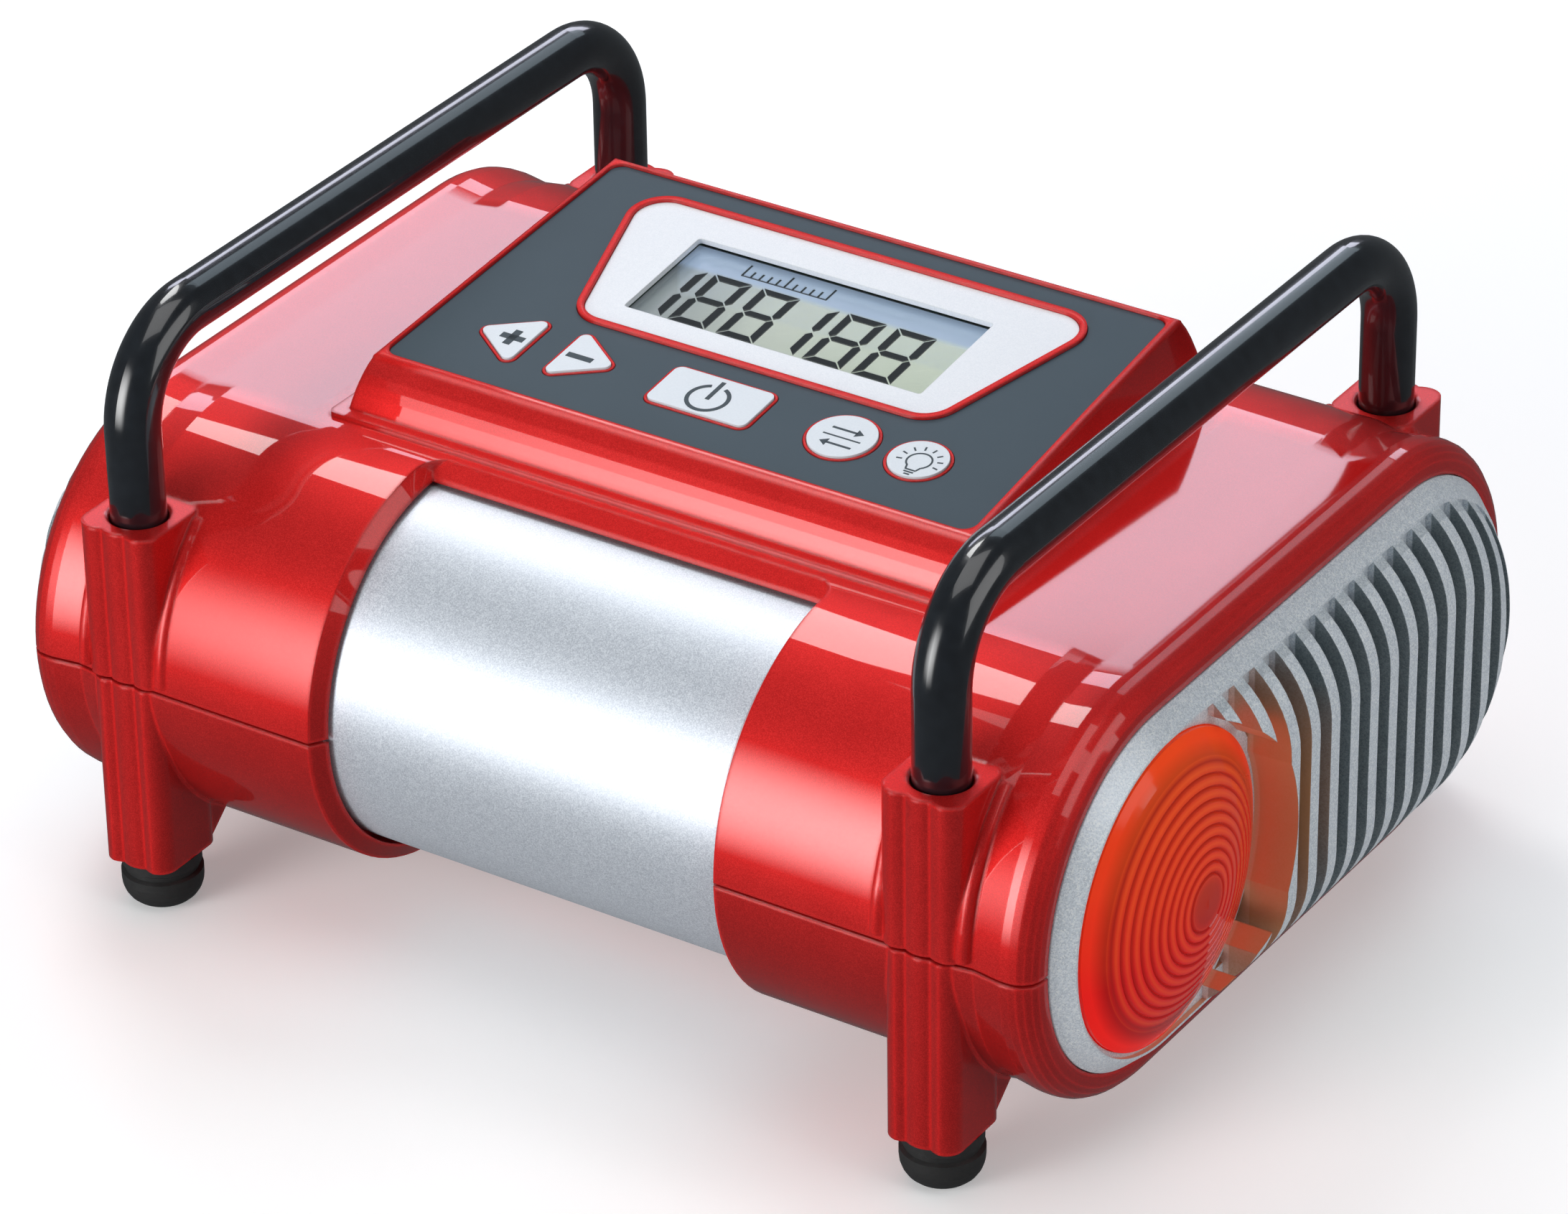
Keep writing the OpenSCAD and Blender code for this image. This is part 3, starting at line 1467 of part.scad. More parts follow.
module cord_grommet() {
    color("black") difference() {
        back_fitting(cord_x, grommet_r);
        y_rod(cord_x, axis_z, cord_hole_r, outlet_back - eps, outlet_face + eps);
    }
}

upper_casing();
lower_casing();
silver_sleeve();
left_end_cap();
right_end_cap();
lamp_lens();
lamp_reflector();
lamp_bulb();
bulb_holder();
left_handle();
right_handle();
handle_inserts();
handle_screws();
rubber_feet();
casing_screws();
control_overlay();
display_bezel();
display_window();
lcd_panel();
plus_button();
minus_button();
power_button();
unit_button();
light_button();
circuit_board();
board_screws();
tact_switches();
pressure_sensor();
sensor_tube();
motor_can();
motor_magnets();
motor_bushes();
motor_end_plate();
motor_screws();
motor_armature();
motor_shaft();
cooling_fan();
drive_pinion();
pump_frame();
pump_mounts();
mount_screws();
gear_axle();
crank_gear();
crank_pin();
connecting_rod();
wrist_pin();
piston();
piston_ring();
pump_cylinder();
cylinder_head();
head_screws();
air_pipe();
air_outlet();
cord_grommet();
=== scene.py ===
"""Looks of a portable tyre inflator with a display console, an end lamp and two hand bars."""

import math

import bmesh
import bpy
from mathutils import Matrix, Vector


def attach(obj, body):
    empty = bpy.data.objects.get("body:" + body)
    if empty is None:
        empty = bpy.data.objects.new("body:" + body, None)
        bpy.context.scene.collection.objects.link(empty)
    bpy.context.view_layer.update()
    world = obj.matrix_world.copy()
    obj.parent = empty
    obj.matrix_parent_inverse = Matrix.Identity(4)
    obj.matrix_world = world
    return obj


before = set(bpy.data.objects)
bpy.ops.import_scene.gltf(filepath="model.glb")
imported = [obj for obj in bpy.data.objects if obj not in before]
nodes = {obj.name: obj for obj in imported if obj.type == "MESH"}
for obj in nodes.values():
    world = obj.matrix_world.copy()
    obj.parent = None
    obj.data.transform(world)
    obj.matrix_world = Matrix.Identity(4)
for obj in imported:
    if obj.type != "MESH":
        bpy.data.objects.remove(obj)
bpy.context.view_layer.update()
MM = 0.001

# ---------- sizes shared with the solids, in millimetres ----------

AXIS_Z = 48.0
BARREL_Y = 43.5
DECK_Z = 86.5                        # top of the barrels and of the deck between them
HOLLOW_DEPTH = 1.2                   # a little more than the hollow beside each end
DECK_FROM_X = 68.0                   # the deck's reach, from the console to the casing's end
DECK_TO_X = 98.5
POSTS_FROM_Y = 64.0                  # flat tops further out than this are the posts' tops
CAP_PLATE_X = 107.1                  # plate of the end caps, under their fins
PANEL_Y = -30.7                      # front edge of the console's slope
PANEL_Z = 95.8
PANEL_TILT = math.radians(6.25)
DISPLAY_V = 43.8                     # middle of the display, up the slope
GLASS_W = 61.6
LENS_R = 28.3
RING_START = 5.2
RING_PITCH = 2.0
RINGS_FROM = 4.5
RINGS_TO = 24.0


# ---------- materials ----------

class Field:
    """A socket that can be used in arithmetic: each operation adds its Math node."""

    def __init__(self, finish, socket):
        self.finish = finish
        self.socket = socket

    def _math(self, operation, first, second):
        return self.finish.node("ShaderNodeMath", {"operation": operation}, {0: first, 1: second})

    def __add__(self, other):
        return self._math("ADD", self, other)

    def __radd__(self, other):
        return self._math("ADD", other, self)

    def __sub__(self, other):
        return self._math("SUBTRACT", self, other)

    def __rsub__(self, other):
        return self._math("SUBTRACT", other, self)

    def __mul__(self, other):
        return self._math("MULTIPLY", self, other)

    def __rmul__(self, other):
        return self._math("MULTIPLY", other, self)

    def __truediv__(self, other):
        return self._math("DIVIDE", self, other)

    def __pow__(self, other):
        return self._math("POWER", self, other)

    def above(self, level):
        return self._math("GREATER_THAN", self, level)

    def below(self, level):
        return self._math("LESS_THAN", self, level)

    def clamped(self):
        return self.finish.node("ShaderNodeClamp", None, {0: self})


class NodeTree:
    """The nodes of a material or of a light."""

    def __init__(self, owner, output):
        owner.use_nodes = True
        self.tree = owner.node_tree
        self.tree.nodes.clear()
        self.output = self.tree.nodes.new(output)

    def node(self, kind, settings=None, sockets=None, out=0):
        made = self.tree.nodes.new(kind)
        for name, value in (settings or {}).items():
            if name == "stops":
                self._stops(made.color_ramp, value)
            else:
                setattr(made, name, value)
        for name, value in (sockets or {}).items():
            self.feed(made.inputs[name], value)
        return Field(self, made.outputs[out])

    def feed(self, socket, value):
        if isinstance(value, Field):
            self.tree.links.new(value.socket, socket)
        else:
            socket.default_value = value

    @staticmethod
    def _stops(ramp, stops):
        while len(ramp.elements) < len(stops):
            ramp.elements.new(0.5)
        for element, (place, colour) in zip(ramp.elements, stops):
            element.position = place
            element.color = rgba(colour)

    def surface(self, shader):
        self.tree.links.new(shader.socket, self.output.inputs["Surface"])


class Finish(NodeTree):
    """A material, built up from nodes."""

    def __init__(self, name):
        self.material = bpy.data.materials.new(name)
        super().__init__(self.material, "ShaderNodeOutputMaterial")

    def where(self):
        """Position on the piece, in the frame's metres."""
        return self.node("ShaderNodeTexCoord", out="Object")

    def axis(self, which, place=None):
        return self.node("ShaderNodeSeparateXYZ", None, {0: place or self.where()}, which)

    def from_lamp(self):
        """How far a place is from the lamp's axis, as a vector across that axis."""
        flat = self.node("ShaderNodeVectorMath", {"operation": "MULTIPLY"},
            {0: self.where(), 1: (0.0, 1.0, 1.0)})
        return self.node("ShaderNodeVectorMath", {"operation": "SUBTRACT"},
            {0: flat, 1: (0.0, -BARREL_Y * MM, AXIS_Z * MM)})

    def unsigned(self, value):
        return self.node("ShaderNodeMath", {"operation": "ABSOLUTE"}, {0: value})

    def length(self, vector):
        return self.node("ShaderNodeVectorMath", {"operation": "LENGTH"}, {0: vector}, "Value")

    def noise(self, size_mm, detail=2.0, roughness=0.5):
        """Noise from 0 to 1 whose features are about size_mm across."""
        return self.node("ShaderNodeTexNoise", None, {"Vector": self.where(),
            "Scale": 1.0 / (size_mm * MM), "Detail": detail, "Roughness": roughness})

    def grains(self, size_mm):
        """A random number from 0 to 1 for each grain, size_mm across."""
        cells = self.node("ShaderNodeTexVoronoi", None, {"Vector": self.where(),
            "Scale": 1.0 / (size_mm * MM)}, "Color")
        return self.node("ShaderNodeSeparateXYZ", None, {0: cells}, 0)

    def ramp(self, value, stops):
        return self.node("ShaderNodeValToRGB", {"stops": stops}, {0: value})

    def blend(self, factor, first, second):
        """A colour from first, at 0, to second, at 1."""
        return self.node("ShaderNodeMix", {"data_type": "RGBA"},
            {0: factor, 6: rgba(first), 7: rgba(second)}, 2)

    def soft_edge(self, radius_mm):
        """Normals that round off the edges of a piece by radius_mm."""
        return self.node("ShaderNodeBevel", {"samples": 4}, {"Radius": radius_mm * MM})

    def bump(self, height, depth_mm, strength, over=None):
        """Normals of a surface with this height, over the normals of another one if given."""
        sockets = {"Height": height, "Distance": depth_mm * MM, "Strength": strength}
        if over:
            sockets["Normal"] = over
        return self.node("ShaderNodeBump", None, sockets)

    def normal(self):
        return self.node("ShaderNodeNewGeometry", out="Normal")

    def agreement(self, first, second):
        """1 where two directions are the same, less where they part."""
        return self.node("ShaderNodeVectorMath", {"operation": "DOT_PRODUCT"},
            {0: first, 1: second}, "Value")

    def levelled(self, normal, amount):
        """The normal, turned straight up where amount is 1."""
        return self.node("ShaderNodeMix", {"data_type": "VECTOR"},
            {0: amount, 4: normal, 5: (0.0, 0.0, 1.0)}, 1)

    def shader(self, sockets):
        return self.node("ShaderNodeBsdfPrincipled", None, sockets)

    def principled(self, sockets):
        self.surface(self.shader(sockets))
        return self.material


def rgba(colour):
    if isinstance(colour, Field):
        return colour
    return (*colour, 1.0) if len(colour) == 3 else colour


def candy_red():
    """Red lacquer over fine metallic flake, with a clear coat.

    A glossier lacquer takes its place on the edges and on the deck beside the console, where
    it mirrors as a level surface does, over the shallow hollow beside each end too."""
    f = Finish("candy_red")
    flake = f.grains(0.13)
    tone = flake * 0.6 + f.noise(11.0, 2.0) * 0.4
    along = f.unsigned(f.axis(0)) / MM
    across = f.unsigned(f.axis(1)) / MM
    depth_down = DECK_Z - f.axis(2) / MM
    up = f.axis(2, f.normal())
    deck = depth_down.below(HOLLOW_DEPTH) * ((up - 0.98) * 100.0).clamped()
    deck = deck * (along - DECK_FROM_X).clamped() * (DECK_TO_X - along).clamped()
    deck = deck * ((BARREL_Y - across) / 4.0).clamped()
    post_tops = ((up - 0.9) * 20.0).clamped() * (across - POSTS_FROM_Y).clamped()
    soft = f.soft_edge(1.1)
    edges = ((1.0 - f.agreement(soft, f.normal())) * 30.0).clamped()
    lacquer = f.shader({
        "Base Color": f.ramp(tone, [(0.15, (0.58, 0.008, 0.008)), (0.5, (0.70, 0.013, 0.012)),
            (0.9, (0.84, 0.030, 0.027))]),
        "Metallic": 0.78, "Roughness": 0.52 + flake * 0.08, "Coat Weight": 1.0 - post_tops * 0.8,
        "Coat Roughness": 0.03, "Coat IOR": 1.5, "Normal": f.bump(flake, 0.004, 0.35, soft)})
    gloss = f.shader({
        "Base Color": f.blend(tone, (0.56, 0.008, 0.008), (0.78, 0.018, 0.016)),
        "Roughness": 0.06 + flake * 0.02, "IOR": 1.55, "Normal": f.levelled(soft, deck)})
    f.surface(f.node("ShaderNodeMixShader", None,
        {0: (deck + edges * 0.8).clamped(), 1: lacquer, 2: gloss}))
    return f.material


def silver_paint():
    """Silver paint with a fine grain."""
    f = Finish("silver_paint")
    grain = f.grains(0.16)
    mix = grain * 0.8 + f.noise(1.2, 3.0) * 0.2
    return f.principled({
        "Base Color": f.ramp(mix, [(0.1, (0.56, 0.61, 0.68)), (0.5, (0.70, 0.75, 0.82)),
            (0.9, (0.85, 0.90, 0.96))]),
        "Metallic": 0.62, "Roughness": 0.42 + grain * 0.10,
        "Normal": f.bump(f.noise(0.2, 1.0), 0.006, 0.5)})


def cast_sparkle():
    """Bright grainy metal of the end caps: painted shade on the fin sides between the fins, and a
    painted orange reflection of the lens where the right cap faces it.
    """
    f = Finish("cast_sparkle")
    grain = f.grains(0.22)
    tone = grain * 0.75 + f.noise(2.0, 3.0) * 0.25
    face = f.ramp(tone, [(0.1, (0.60, 0.66, 0.72)), (0.6, (0.80, 0.86, 0.92)),
        (0.95, (0.97, 1.0, 1.0))])
    # painted shade: where the fins' sides face sideways above the plate, the metal is darker than on
    # the fin faces
    painted_channel_shade = f.ramp(tone, [(0.1, (0.20, 0.25, 0.27)), (0.9, (0.36, 0.42, 0.45))])
    normal = f.normal()
    turned = (0.75 - f.unsigned(f.axis(0, normal))) * 3.0
    raised = (f.unsigned(f.axis(0)) / MM - CAP_PLATE_X) * 4.0
    metal = f.blend(turned.clamped() * raised.clamped(), face, painted_channel_shade)
    # painted reflection: orange of the lens on the right cap, where its faces turn towards the lens
    # close by
    outward = f.from_lamp()
    facing = f.agreement(f.node("ShaderNodeVectorMath", {"operation": "NORMALIZE"}, {0: outward}),
        normal)
    near = (46.0 - f.length(outward) / MM) / 12.0
    orange_and_painted_light = (facing * -1.6 - 0.3).clamped() * near.clamped() * f.axis(0).above(0.0)
    rounded = f.soft_edge(0.35)
    return f.principled({
        "Base Color": f.blend(orange_and_painted_light * 0.85, metal, (0.85, 0.36, 0.14)),
        "Metallic": 0.36, "Roughness": 0.34 + grain * 0.14,
        "Normal": f.bump(f.noise(0.3, 2.0), 0.012, 0.5, rounded)})


def lamp_plastic():
    """Translucent red lens: ring prisms round a darker middle, more orange towards the top; painted
    highlights on the ring crests, painted shade in their grooves, a painted reflection in its bright
    rim and a faint painted glow.
    """
    f = Finish("lamp_plastic")
    radius = f.length(f.from_lamp()) / MM
    height = (f.axis(2) / MM - 46.0) / 36.0 + f.noise(9.0, 2.0) * 0.2
    # the bright outer rim of this ramp is a painted internal reflection of the lens
    rings = f.ramp(radius / LENS_R, [(0.12, (0.42, 0.010, 0.008)), (0.22, (0.70, 0.012, 0.008)),
        (0.76, (0.66, 0.008, 0.008)), (0.86, (0.42, 0.003, 0.003)), (0.95, (0.84, 0.014, 0.010))])
    prism = f.node("ShaderNodeMath", {"operation": "PINGPONG"},
        {0: radius - RING_START, 1: RING_PITCH / 2})
    ringed = radius.below(RINGS_TO) * radius.above(RINGS_FROM)
    # painted highlights on the ring crests and painted shade in their grooves
    painted_crest_highlight = (prism * 1.6 - 0.8).clamped() * ringed
    painted_groove_shade = (1.0 - prism * 2.0).clamped() * ringed
    orange_and_painted_light = f.blend((height.clamped() * 0.42 + painted_crest_highlight * 0.26).clamped(), rings, (1.0, 0.17, 0.02))
    colour_with_painted_light = f.blend(painted_groove_shade * 0.65, orange_and_painted_light, (0.30, 0.003, 0.003))
    return f.principled({
        "Base Color": colour_with_painted_light,
        "Roughness": 0.08 + f.noise(3.0, 2.0) * 0.05, "Transmission Weight": 0.12, "IOR": 1.49,
        "Subsurface Weight": 0.2, "Subsurface Radius": (0.003, 0.0008, 0.0003),
        # painted glow: the lens glows faintly in its own colours though the lamp is unlit
        "Emission Color": colour_with_painted_light, "Emission Strength": 0.20,
        "Specular IOR Level": 0.25, "Coat Weight": ((27.0 - radius) / 5.0).clamped() * 0.9,
        "Coat Roughness": 0.02})


def gloss_black():
    """Thick black lacquer on the hand bars, with slight orange peel."""
    f = Finish("gloss_black")
    peel = f.noise(2.6, 1.5)
    return f.principled({
        "Base Color": f.blend(peel, (0.005, 0.006, 0.008), (0.012, 0.016, 0.021)),
        "Roughness": 0.16 + peel * 0.10, "Specular IOR Level": 0.5, "Coat Weight": 0.9,
        "Coat Roughness": 0.03, "Normal": f.bump(peel, 0.02, 0.2)})


def foot_rubber():
    """Dull black rubber."""
    f = Finish("foot_rubber")
    grain = f.noise(0.5, 4.0, 0.7)
    return f.principled({
        "Base Color": f.blend(grain, (0.0108, 0.0108, 0.0108), (0.0306, 0.0306, 0.0306)),
        "Roughness": 0.38 + grain * 0.25, "Normal": f.bump(grain, 0.04, 0.4)})


def overlay_print():
    """Slate-grey printed film with a fine satin tooth."""
    f = Finish("overlay_print")
    tooth = f.noise(0.3, 3.0, 0.6)
    return f.principled({
        "Base Color": f.blend(tooth * 0.5 + f.noise(14.0, 2.0) * 0.5, (0.027, 0.054, 0.074),
            (0.040, 0.072, 0.096)),
        "Roughness": 0.50 + tooth * 0.14, "Specular IOR Level": 0.4,
        "Normal": f.bump(tooth, 0.006, 0.5)})


def satin_silver():
    """Pale silver lacquer round the display."""
    f = Finish("satin_silver")
    grain = f.grains(0.16)
    rounded = f.soft_edge(0.3)
    return f.principled({
        "Base Color": f.blend(grain, (0.82, 0.85, 0.89), (0.91, 0.93, 0.96)),
        "Metallic": 0.08, "Roughness": 0.38 + grain * 0.08,
        "Normal": f.bump(grain, 0.003, 0.3, rounded)})


def lcd_glass():
    """Display behind its glass: grey-green with painted shade towards the left, a painted blue
    reflection across the top, and a faint painted glow that lifts the shadow of the bezel.
    """
    f = Finish("lcd_glass")
    across = f.axis(0) / (GLASS_W * MM) + 0.5
    up = (f.axis(1) - PANEL_Y * MM) / (math.cos(PANEL_TILT) * MM) - DISPLAY_V
    # painted shade: the grey-green darkens towards the left
    green = f.ramp(across + f.noise(12.0, 1.0) * 0.08, [(0.0, (0.22, 0.26, 0.30)),
        (0.14, (0.40, 0.45, 0.43)), (0.4, (0.64, 0.70, 0.60)), (1.0, (0.68, 0.76, 0.61))])
    # painted reflection: a pale blue strip across the top of the display
    painted_reflection_band = (up - 5.6) / 1.6
    colour_with_painted_light = f.blend(painted_reflection_band.clamped(), green, (0.44, 0.56, 0.72))
    return f.principled({
        "Base Color": colour_with_painted_light, "Roughness": 0.22, "Coat Weight": 0.5, "Coat Roughness": 0.02,
        # painted glow: the display glows faintly in its own colours, lifting the shadow of the bezel
        "Emission Color": colour_with_painted_light, "Emission Strength": 0.22})


def clear_window():
    """Clear window over the display."""
    f = Finish("clear_window")
    return f.principled({"Base Color": (0.97, 0.98, 1.0, 1.0), "Roughness": 0.03,
        "Transmission Weight": 1.0, "IOR": 1.08,
        "Alpha": 0.10 + f.noise(30.0, 1.0) * 0.02})


def key_white():
    """Pale satin keys."""
    f = Finish("key_white")
    tooth = f.noise(0.35, 3.0)
    rounded = f.soft_edge(0.25)
    return f.principled({
        "Base Color": f.blend(tooth, (0.76, 0.82, 0.88), (0.87, 0.92, 0.97)),
        "Roughness": 0.34 + tooth * 0.10, "Normal": f.bump(tooth, 0.004, 0.4, rounded)})


def sign_ink():
    """Slate ink of the signs on the keys."""
    f = Finish("sign_ink")
    tooth = f.noise(0.3, 2.0)
    return f.principled({
        "Base Color": f.blend(tooth, (0.024, 0.044, 0.058), (0.036, 0.060, 0.075)),
        "Roughness": 0.55 + tooth * 0.1})


def segment_ink():
    """Dark segments of the display."""
    f = Finish("segment_ink")
    tooth = f.noise(0.8, 2.0)
    return f.principled({
        "Base Color": f.blend(tooth, (0.010, 0.014, 0.016), (0.018, 0.024, 0.026)),
        "Roughness": 0.62 + tooth * 0.08, "Specular IOR Level": 0.2})


def plain_metal(name, low, high, roughness, metallic=0.95):
    """Bare metal whose colour goes from low to high with its grain."""
    f = Finish(name)
    grain = f.noise(0.6, 4.0, 0.6)
    return f.principled({
        "Base Color": f.blend(grain, low, high), "Metallic": metallic,
        "Roughness": roughness + grain * 0.15, "Normal": f.bump(grain, 0.02, 0.3)})


def plain_plastic(name, low, high, roughness):
    """Plain plastic whose colour goes from low to high with its grain."""
    f = Finish(name)
    grain = f.noise(0.7, 3.0, 0.6)
    return f.principled({
        "Base Color": f.blend(grain, low, high), "Roughness": roughness + grain * 0.12,
        "Normal": f.bump(grain, 0.02, 0.35)})


def studio_floor():
    """Pale matt floor."""
    f = Finish("studio_floor")
    cloud = f.noise(300.0, 2.0)
    return f.principled({"Base Color": f.blend(cloud, (0.92, 0.92, 0.92), (0.95, 0.95, 0.95)),
        "Roughness": 0.65 + cloud * 0.05, "Specular IOR Level": 0.2,
        "Emission Color": (1.0, 1.0, 1.0, 1.0), "Emission Strength": 0.28})


RED = candy_red()
SILVER = silver_paint()
CAST = cast_sparkle()
LAMP = lamp_plastic()
BLACK = gloss_black()
RUBBER = foot_rubber()
OVERLAY = overlay_print()
BEZEL = satin_silver()
LCD = lcd_glass()
WINDOW = clear_window()
KEY = key_white()
INK = sign_ink()
SEGMENT = segment_ink()
STEEL = plain_metal("zinc_steel", (0.50, 0.51, 0.53), (0.66, 0.67, 0.69), 0.28)
ALLOY = plain_metal("machined_alloy", (0.62, 0.63, 0.65), (0.78, 0.79, 0.80), 0.25)
BRASS = plain_metal("turned_brass", (0.62, 0.42, 0.16), (0.80, 0.60, 0.28), 0.22)
COPPER = plain_metal("wound_copper", (0.45, 0.17, 0.07), (0.68, 0.30, 0.13), 0.35)
MAGNET = plain_metal("sintered_magnet", (0.12, 0.12, 0.13), (0.20, 0.20, 0.21), 0.45, 0.5)
DIECAST = plain_metal("die_casting", (0.36, 0.37, 0.38), (0.50, 0.51, 0.52), 0.42)
MIRROR = plain_metal("reflector_bright", (0.86, 0.86, 0.87), (0.95, 0.95, 0.95), 0.06)
MOULDED = plain_plastic("moulded_black", (0.012, 0.012, 0.014), (0.03, 0.03, 0.032), 0.4)
NYLON = plain_plastic("gear_nylon", (0.72, 0.69, 0.58), (0.84, 0.81, 0.70), 0.42)
BOARD = plain_plastic("board_lacquer", (0.010, 0.10, 0.045), (0.020, 0.16, 0.07), 0.3)
MILKY = plain_plastic("milky_tube", (0.66, 0.68, 0.68), (0.78, 0.80, 0.80), 0.3)
FROSTED = plain_plastic("frosted_bulb", (0.86, 0.85, 0.78), (0.95, 0.94, 0.88), 0.35)

FINISHES = {
    RED: ["upper_casing", "lower_casing"],
    SILVER: ["silver_sleeve"],
    CAST: ["left_end_cap", "right_end_cap"],
    LAMP: ["lamp_lens"],
    BLACK: ["left_handle", "right_handle"],
    RUBBER: ["rubber_feet", "cord_grommet", "air_pipe", "pump_mounts", "piston_ring"],
    OVERLAY: ["control_overlay"],
    BEZEL: ["display_bezel"],
    LCD: ["lcd_panel"],
    WINDOW: ["display_window"],
    KEY: ["plus_button", "minus_button", "power_button", "unit_button", "light_button"],
    STEEL: ["handle_screws", "casing_screws", "board_screws", "motor_can", "motor_screws",
        "motor_shaft", "mount_screws", "gear_axle", "crank_pin", "wrist_pin", "head_screws"],
    ALLOY: ["connecting_rod", "piston", "pump_cylinder", "cylinder_head"],
    BRASS: ["handle_inserts", "motor_bushes", "drive_pinion", "air_outlet"],
    COPPER: ["motor_armature"],
    MAGNET: ["motor_magnets"],
    DIECAST: ["pump_frame"],
    MIRROR: ["lamp_reflector"],
    MOULDED: ["bulb_holder", "tact_switches", "pressure_sensor", "motor_end_plate", "cooling_fan"],
    NYLON: ["crank_gear"],
    BOARD: ["circuit_board"],
    MILKY: ["sensor_tube"],
    FROSTED: ["lamp_bulb"],
}

for finish, names in FINISHES.items():
    for name in names:
        nodes[name].data.materials.clear()
        nodes[name].data.materials.append(finish)


# ---------- digits of the display and signs on the keys ----------

PANEL = Matrix((
    (1, 0, 0, 0),
    (0, math.cos(PANEL_TILT), -math.sin(PANEL_TILT), PANEL_Y * MM),
    (0, math.sin(PANEL_TILT), math.cos(PANEL_TILT), PANEL_Z * MM),
    (0, 0, 0, 1)))


def height_on_panel(name):
    """How high the top of a solid stands out of the console's slope, in millimetres."""
    out = PANEL.inverted()
    return max((out @ vertex.co).z for vertex in nodes[name].data.vertices) / MM


INK_SUNK = 0.03
INK_RAISED = 0.04


def print_on(name, outlines, on, ink, body):
    """Thin flat shapes, one for each outline, printed on the top of a solid of the console."""
    top = height_on_panel(on)
    bm = bmesh.new()
    for outline in outlines:
        low = [bm.verts.new(PANEL @ Vector((u * MM, v * MM, (top - INK_SUNK) * MM)))
            for u, v in outline]
        high = [bm.verts.new(PANEL @ Vector((u * MM, v * MM, (top + INK_RAISED) * MM)))
            for u, v in outline]
        bm.faces.new(high)
        bm.faces.new(list(reversed(low)))
        for i in range(len(outline)):
            j = (i + 1) % len(outline)
            bm.faces.new((low[i], low[j], high[j], high[i]))
    bmesh.ops.recalc_face_normals(bm, faces=bm.faces)
    mesh = bpy.data.meshes.new(name)
    bm.to_mesh(mesh)
    bm.free()
    mesh.materials.append(ink)
    piece = bpy.data.objects.new(name, mesh)
    bpy.context.collection.objects.link(piece)
    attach(piece, body)


def bar(start, end, width):
    """Outline of a straight bar."""
    along = (Vector(end) - Vector(start)).normalized()
    side = Vector((-along.y, along.x)) * width / 2
    return [Vector(start) - side, Vector(end) - side, Vector(end) + side, Vector(start) + side]


def arc(centre, radius, width, first, last, steps):
    """Outlines of the short bars that make up an arc, from first to last degrees."""
    pieces = []
    for i in range(steps):
        a = math.radians(first + (last - first) * i / steps)
        b = math.radians(first + (last - first) * (i + 1) / steps)
        pieces.append([(centre[0] + r * math.cos(t), centre[1] + r * math.sin(t))
            for r, t in ((radius - width / 2, a), (radius + width / 2, a),
                (radius + width / 2, b), (radius - width / 2, b))])
    return pieces


STROKE = 1.65                        # width of a digit's segments
SPACE = 0.2                          # how far a segment stops short of its corner


def upright(side, inward, low, high, low_joins, high_joins):
    """An upright segment: its outer edge at side, pointed where it meets the middle bar."""
    inner = side + inward * STROKE
    middle = side + inward * STROKE / 2
    foot = [(side, low + STROKE / 2 + SPACE), (middle, low + SPACE),
        (inner, low + STROKE / 2 + SPACE)]
    if not low_joins:
        foot = [(side, low + SPACE), (inner, low + STROKE + SPACE)]
    head = [(inner, high - STROKE / 2 - SPACE), (middle, high - SPACE),
        (side, high - STROKE / 2 - SPACE)]
    if not high_joins:
        head = [(inner, high - STROKE - SPACE), (side, high - SPACE)]
    return foot + head


def digit_eight(left, right, low, high):
    """Outlines of the seven segments of an eight."""
    middle = (low + high) / 2
    inner_left = left + STROKE + SPACE
    inner_right = right - STROKE - SPACE
    half = STROKE / 2
    return [
        [(left + SPACE, high), (right - SPACE, high), (inner_right, high - STROKE),
            (inner_left, high - STROKE)],
        [(left + SPACE, low), (inner_left, low + STROKE), (inner_right, low + STROKE),
            (right - SPACE, low)],
        [(inner_left - half, middle), (inner_left, middle + half), (inner_right, middle + half),
            (inner_right + half, middle), (inner_right, middle - half), (inner_left, middle - half)],
        upright(left, 1, low, middle, False, True),
        upright(left, 1, middle, high, True, False),
        upright(right, -1, low, middle, False, True),
        upright(right, -1, middle, high, True, False)]


def digit_one(right, low, high):
    """Outlines of the two segments of a one."""
    middle = (low + high) / 2
    return [upright(right, -1, low, middle, False, True),
        upright(right, -1, middle, high, True, False)]


DIGIT_LOW = 34.3
DIGIT_HIGH = 50.1
ONES = (-25.2, 2.6)
EIGHTS = ((-23.7, -15.8), (-13.6, -5.7), (4.4, 12.4), (14.6, 22.7))

digits = []
for right in ONES:
    digits += digit_one(right, DIGIT_LOW, DIGIT_HIGH)
for left, right in EIGHTS:
    digits += digit_eight(left, right, DIGIT_LOW, DIGIT_HIGH)
print_on("display_digits", digits, "lcd_panel", SEGMENT, "housing")

SCALE_V = 51.9
SHORT_MARK_V = 53.8
LONG_MARK_V = 55.4
FIRST_MARK = -19.35
MARK_PITCH = 1.77
MARKS = 11

scale = [bar((-19.5, SCALE_V), (-1.5, SCALE_V), 0.3)]
for i in range(MARKS):
    mark = FIRST_MARK + i * MARK_PITCH
    scale.append(bar((mark, SCALE_V), (mark, LONG_MARK_V if i % 5 == 0 else SHORT_MARK_V), 0.38))
print_on("display_scale", scale, "lcd_panel", SEGMENT, "housing")

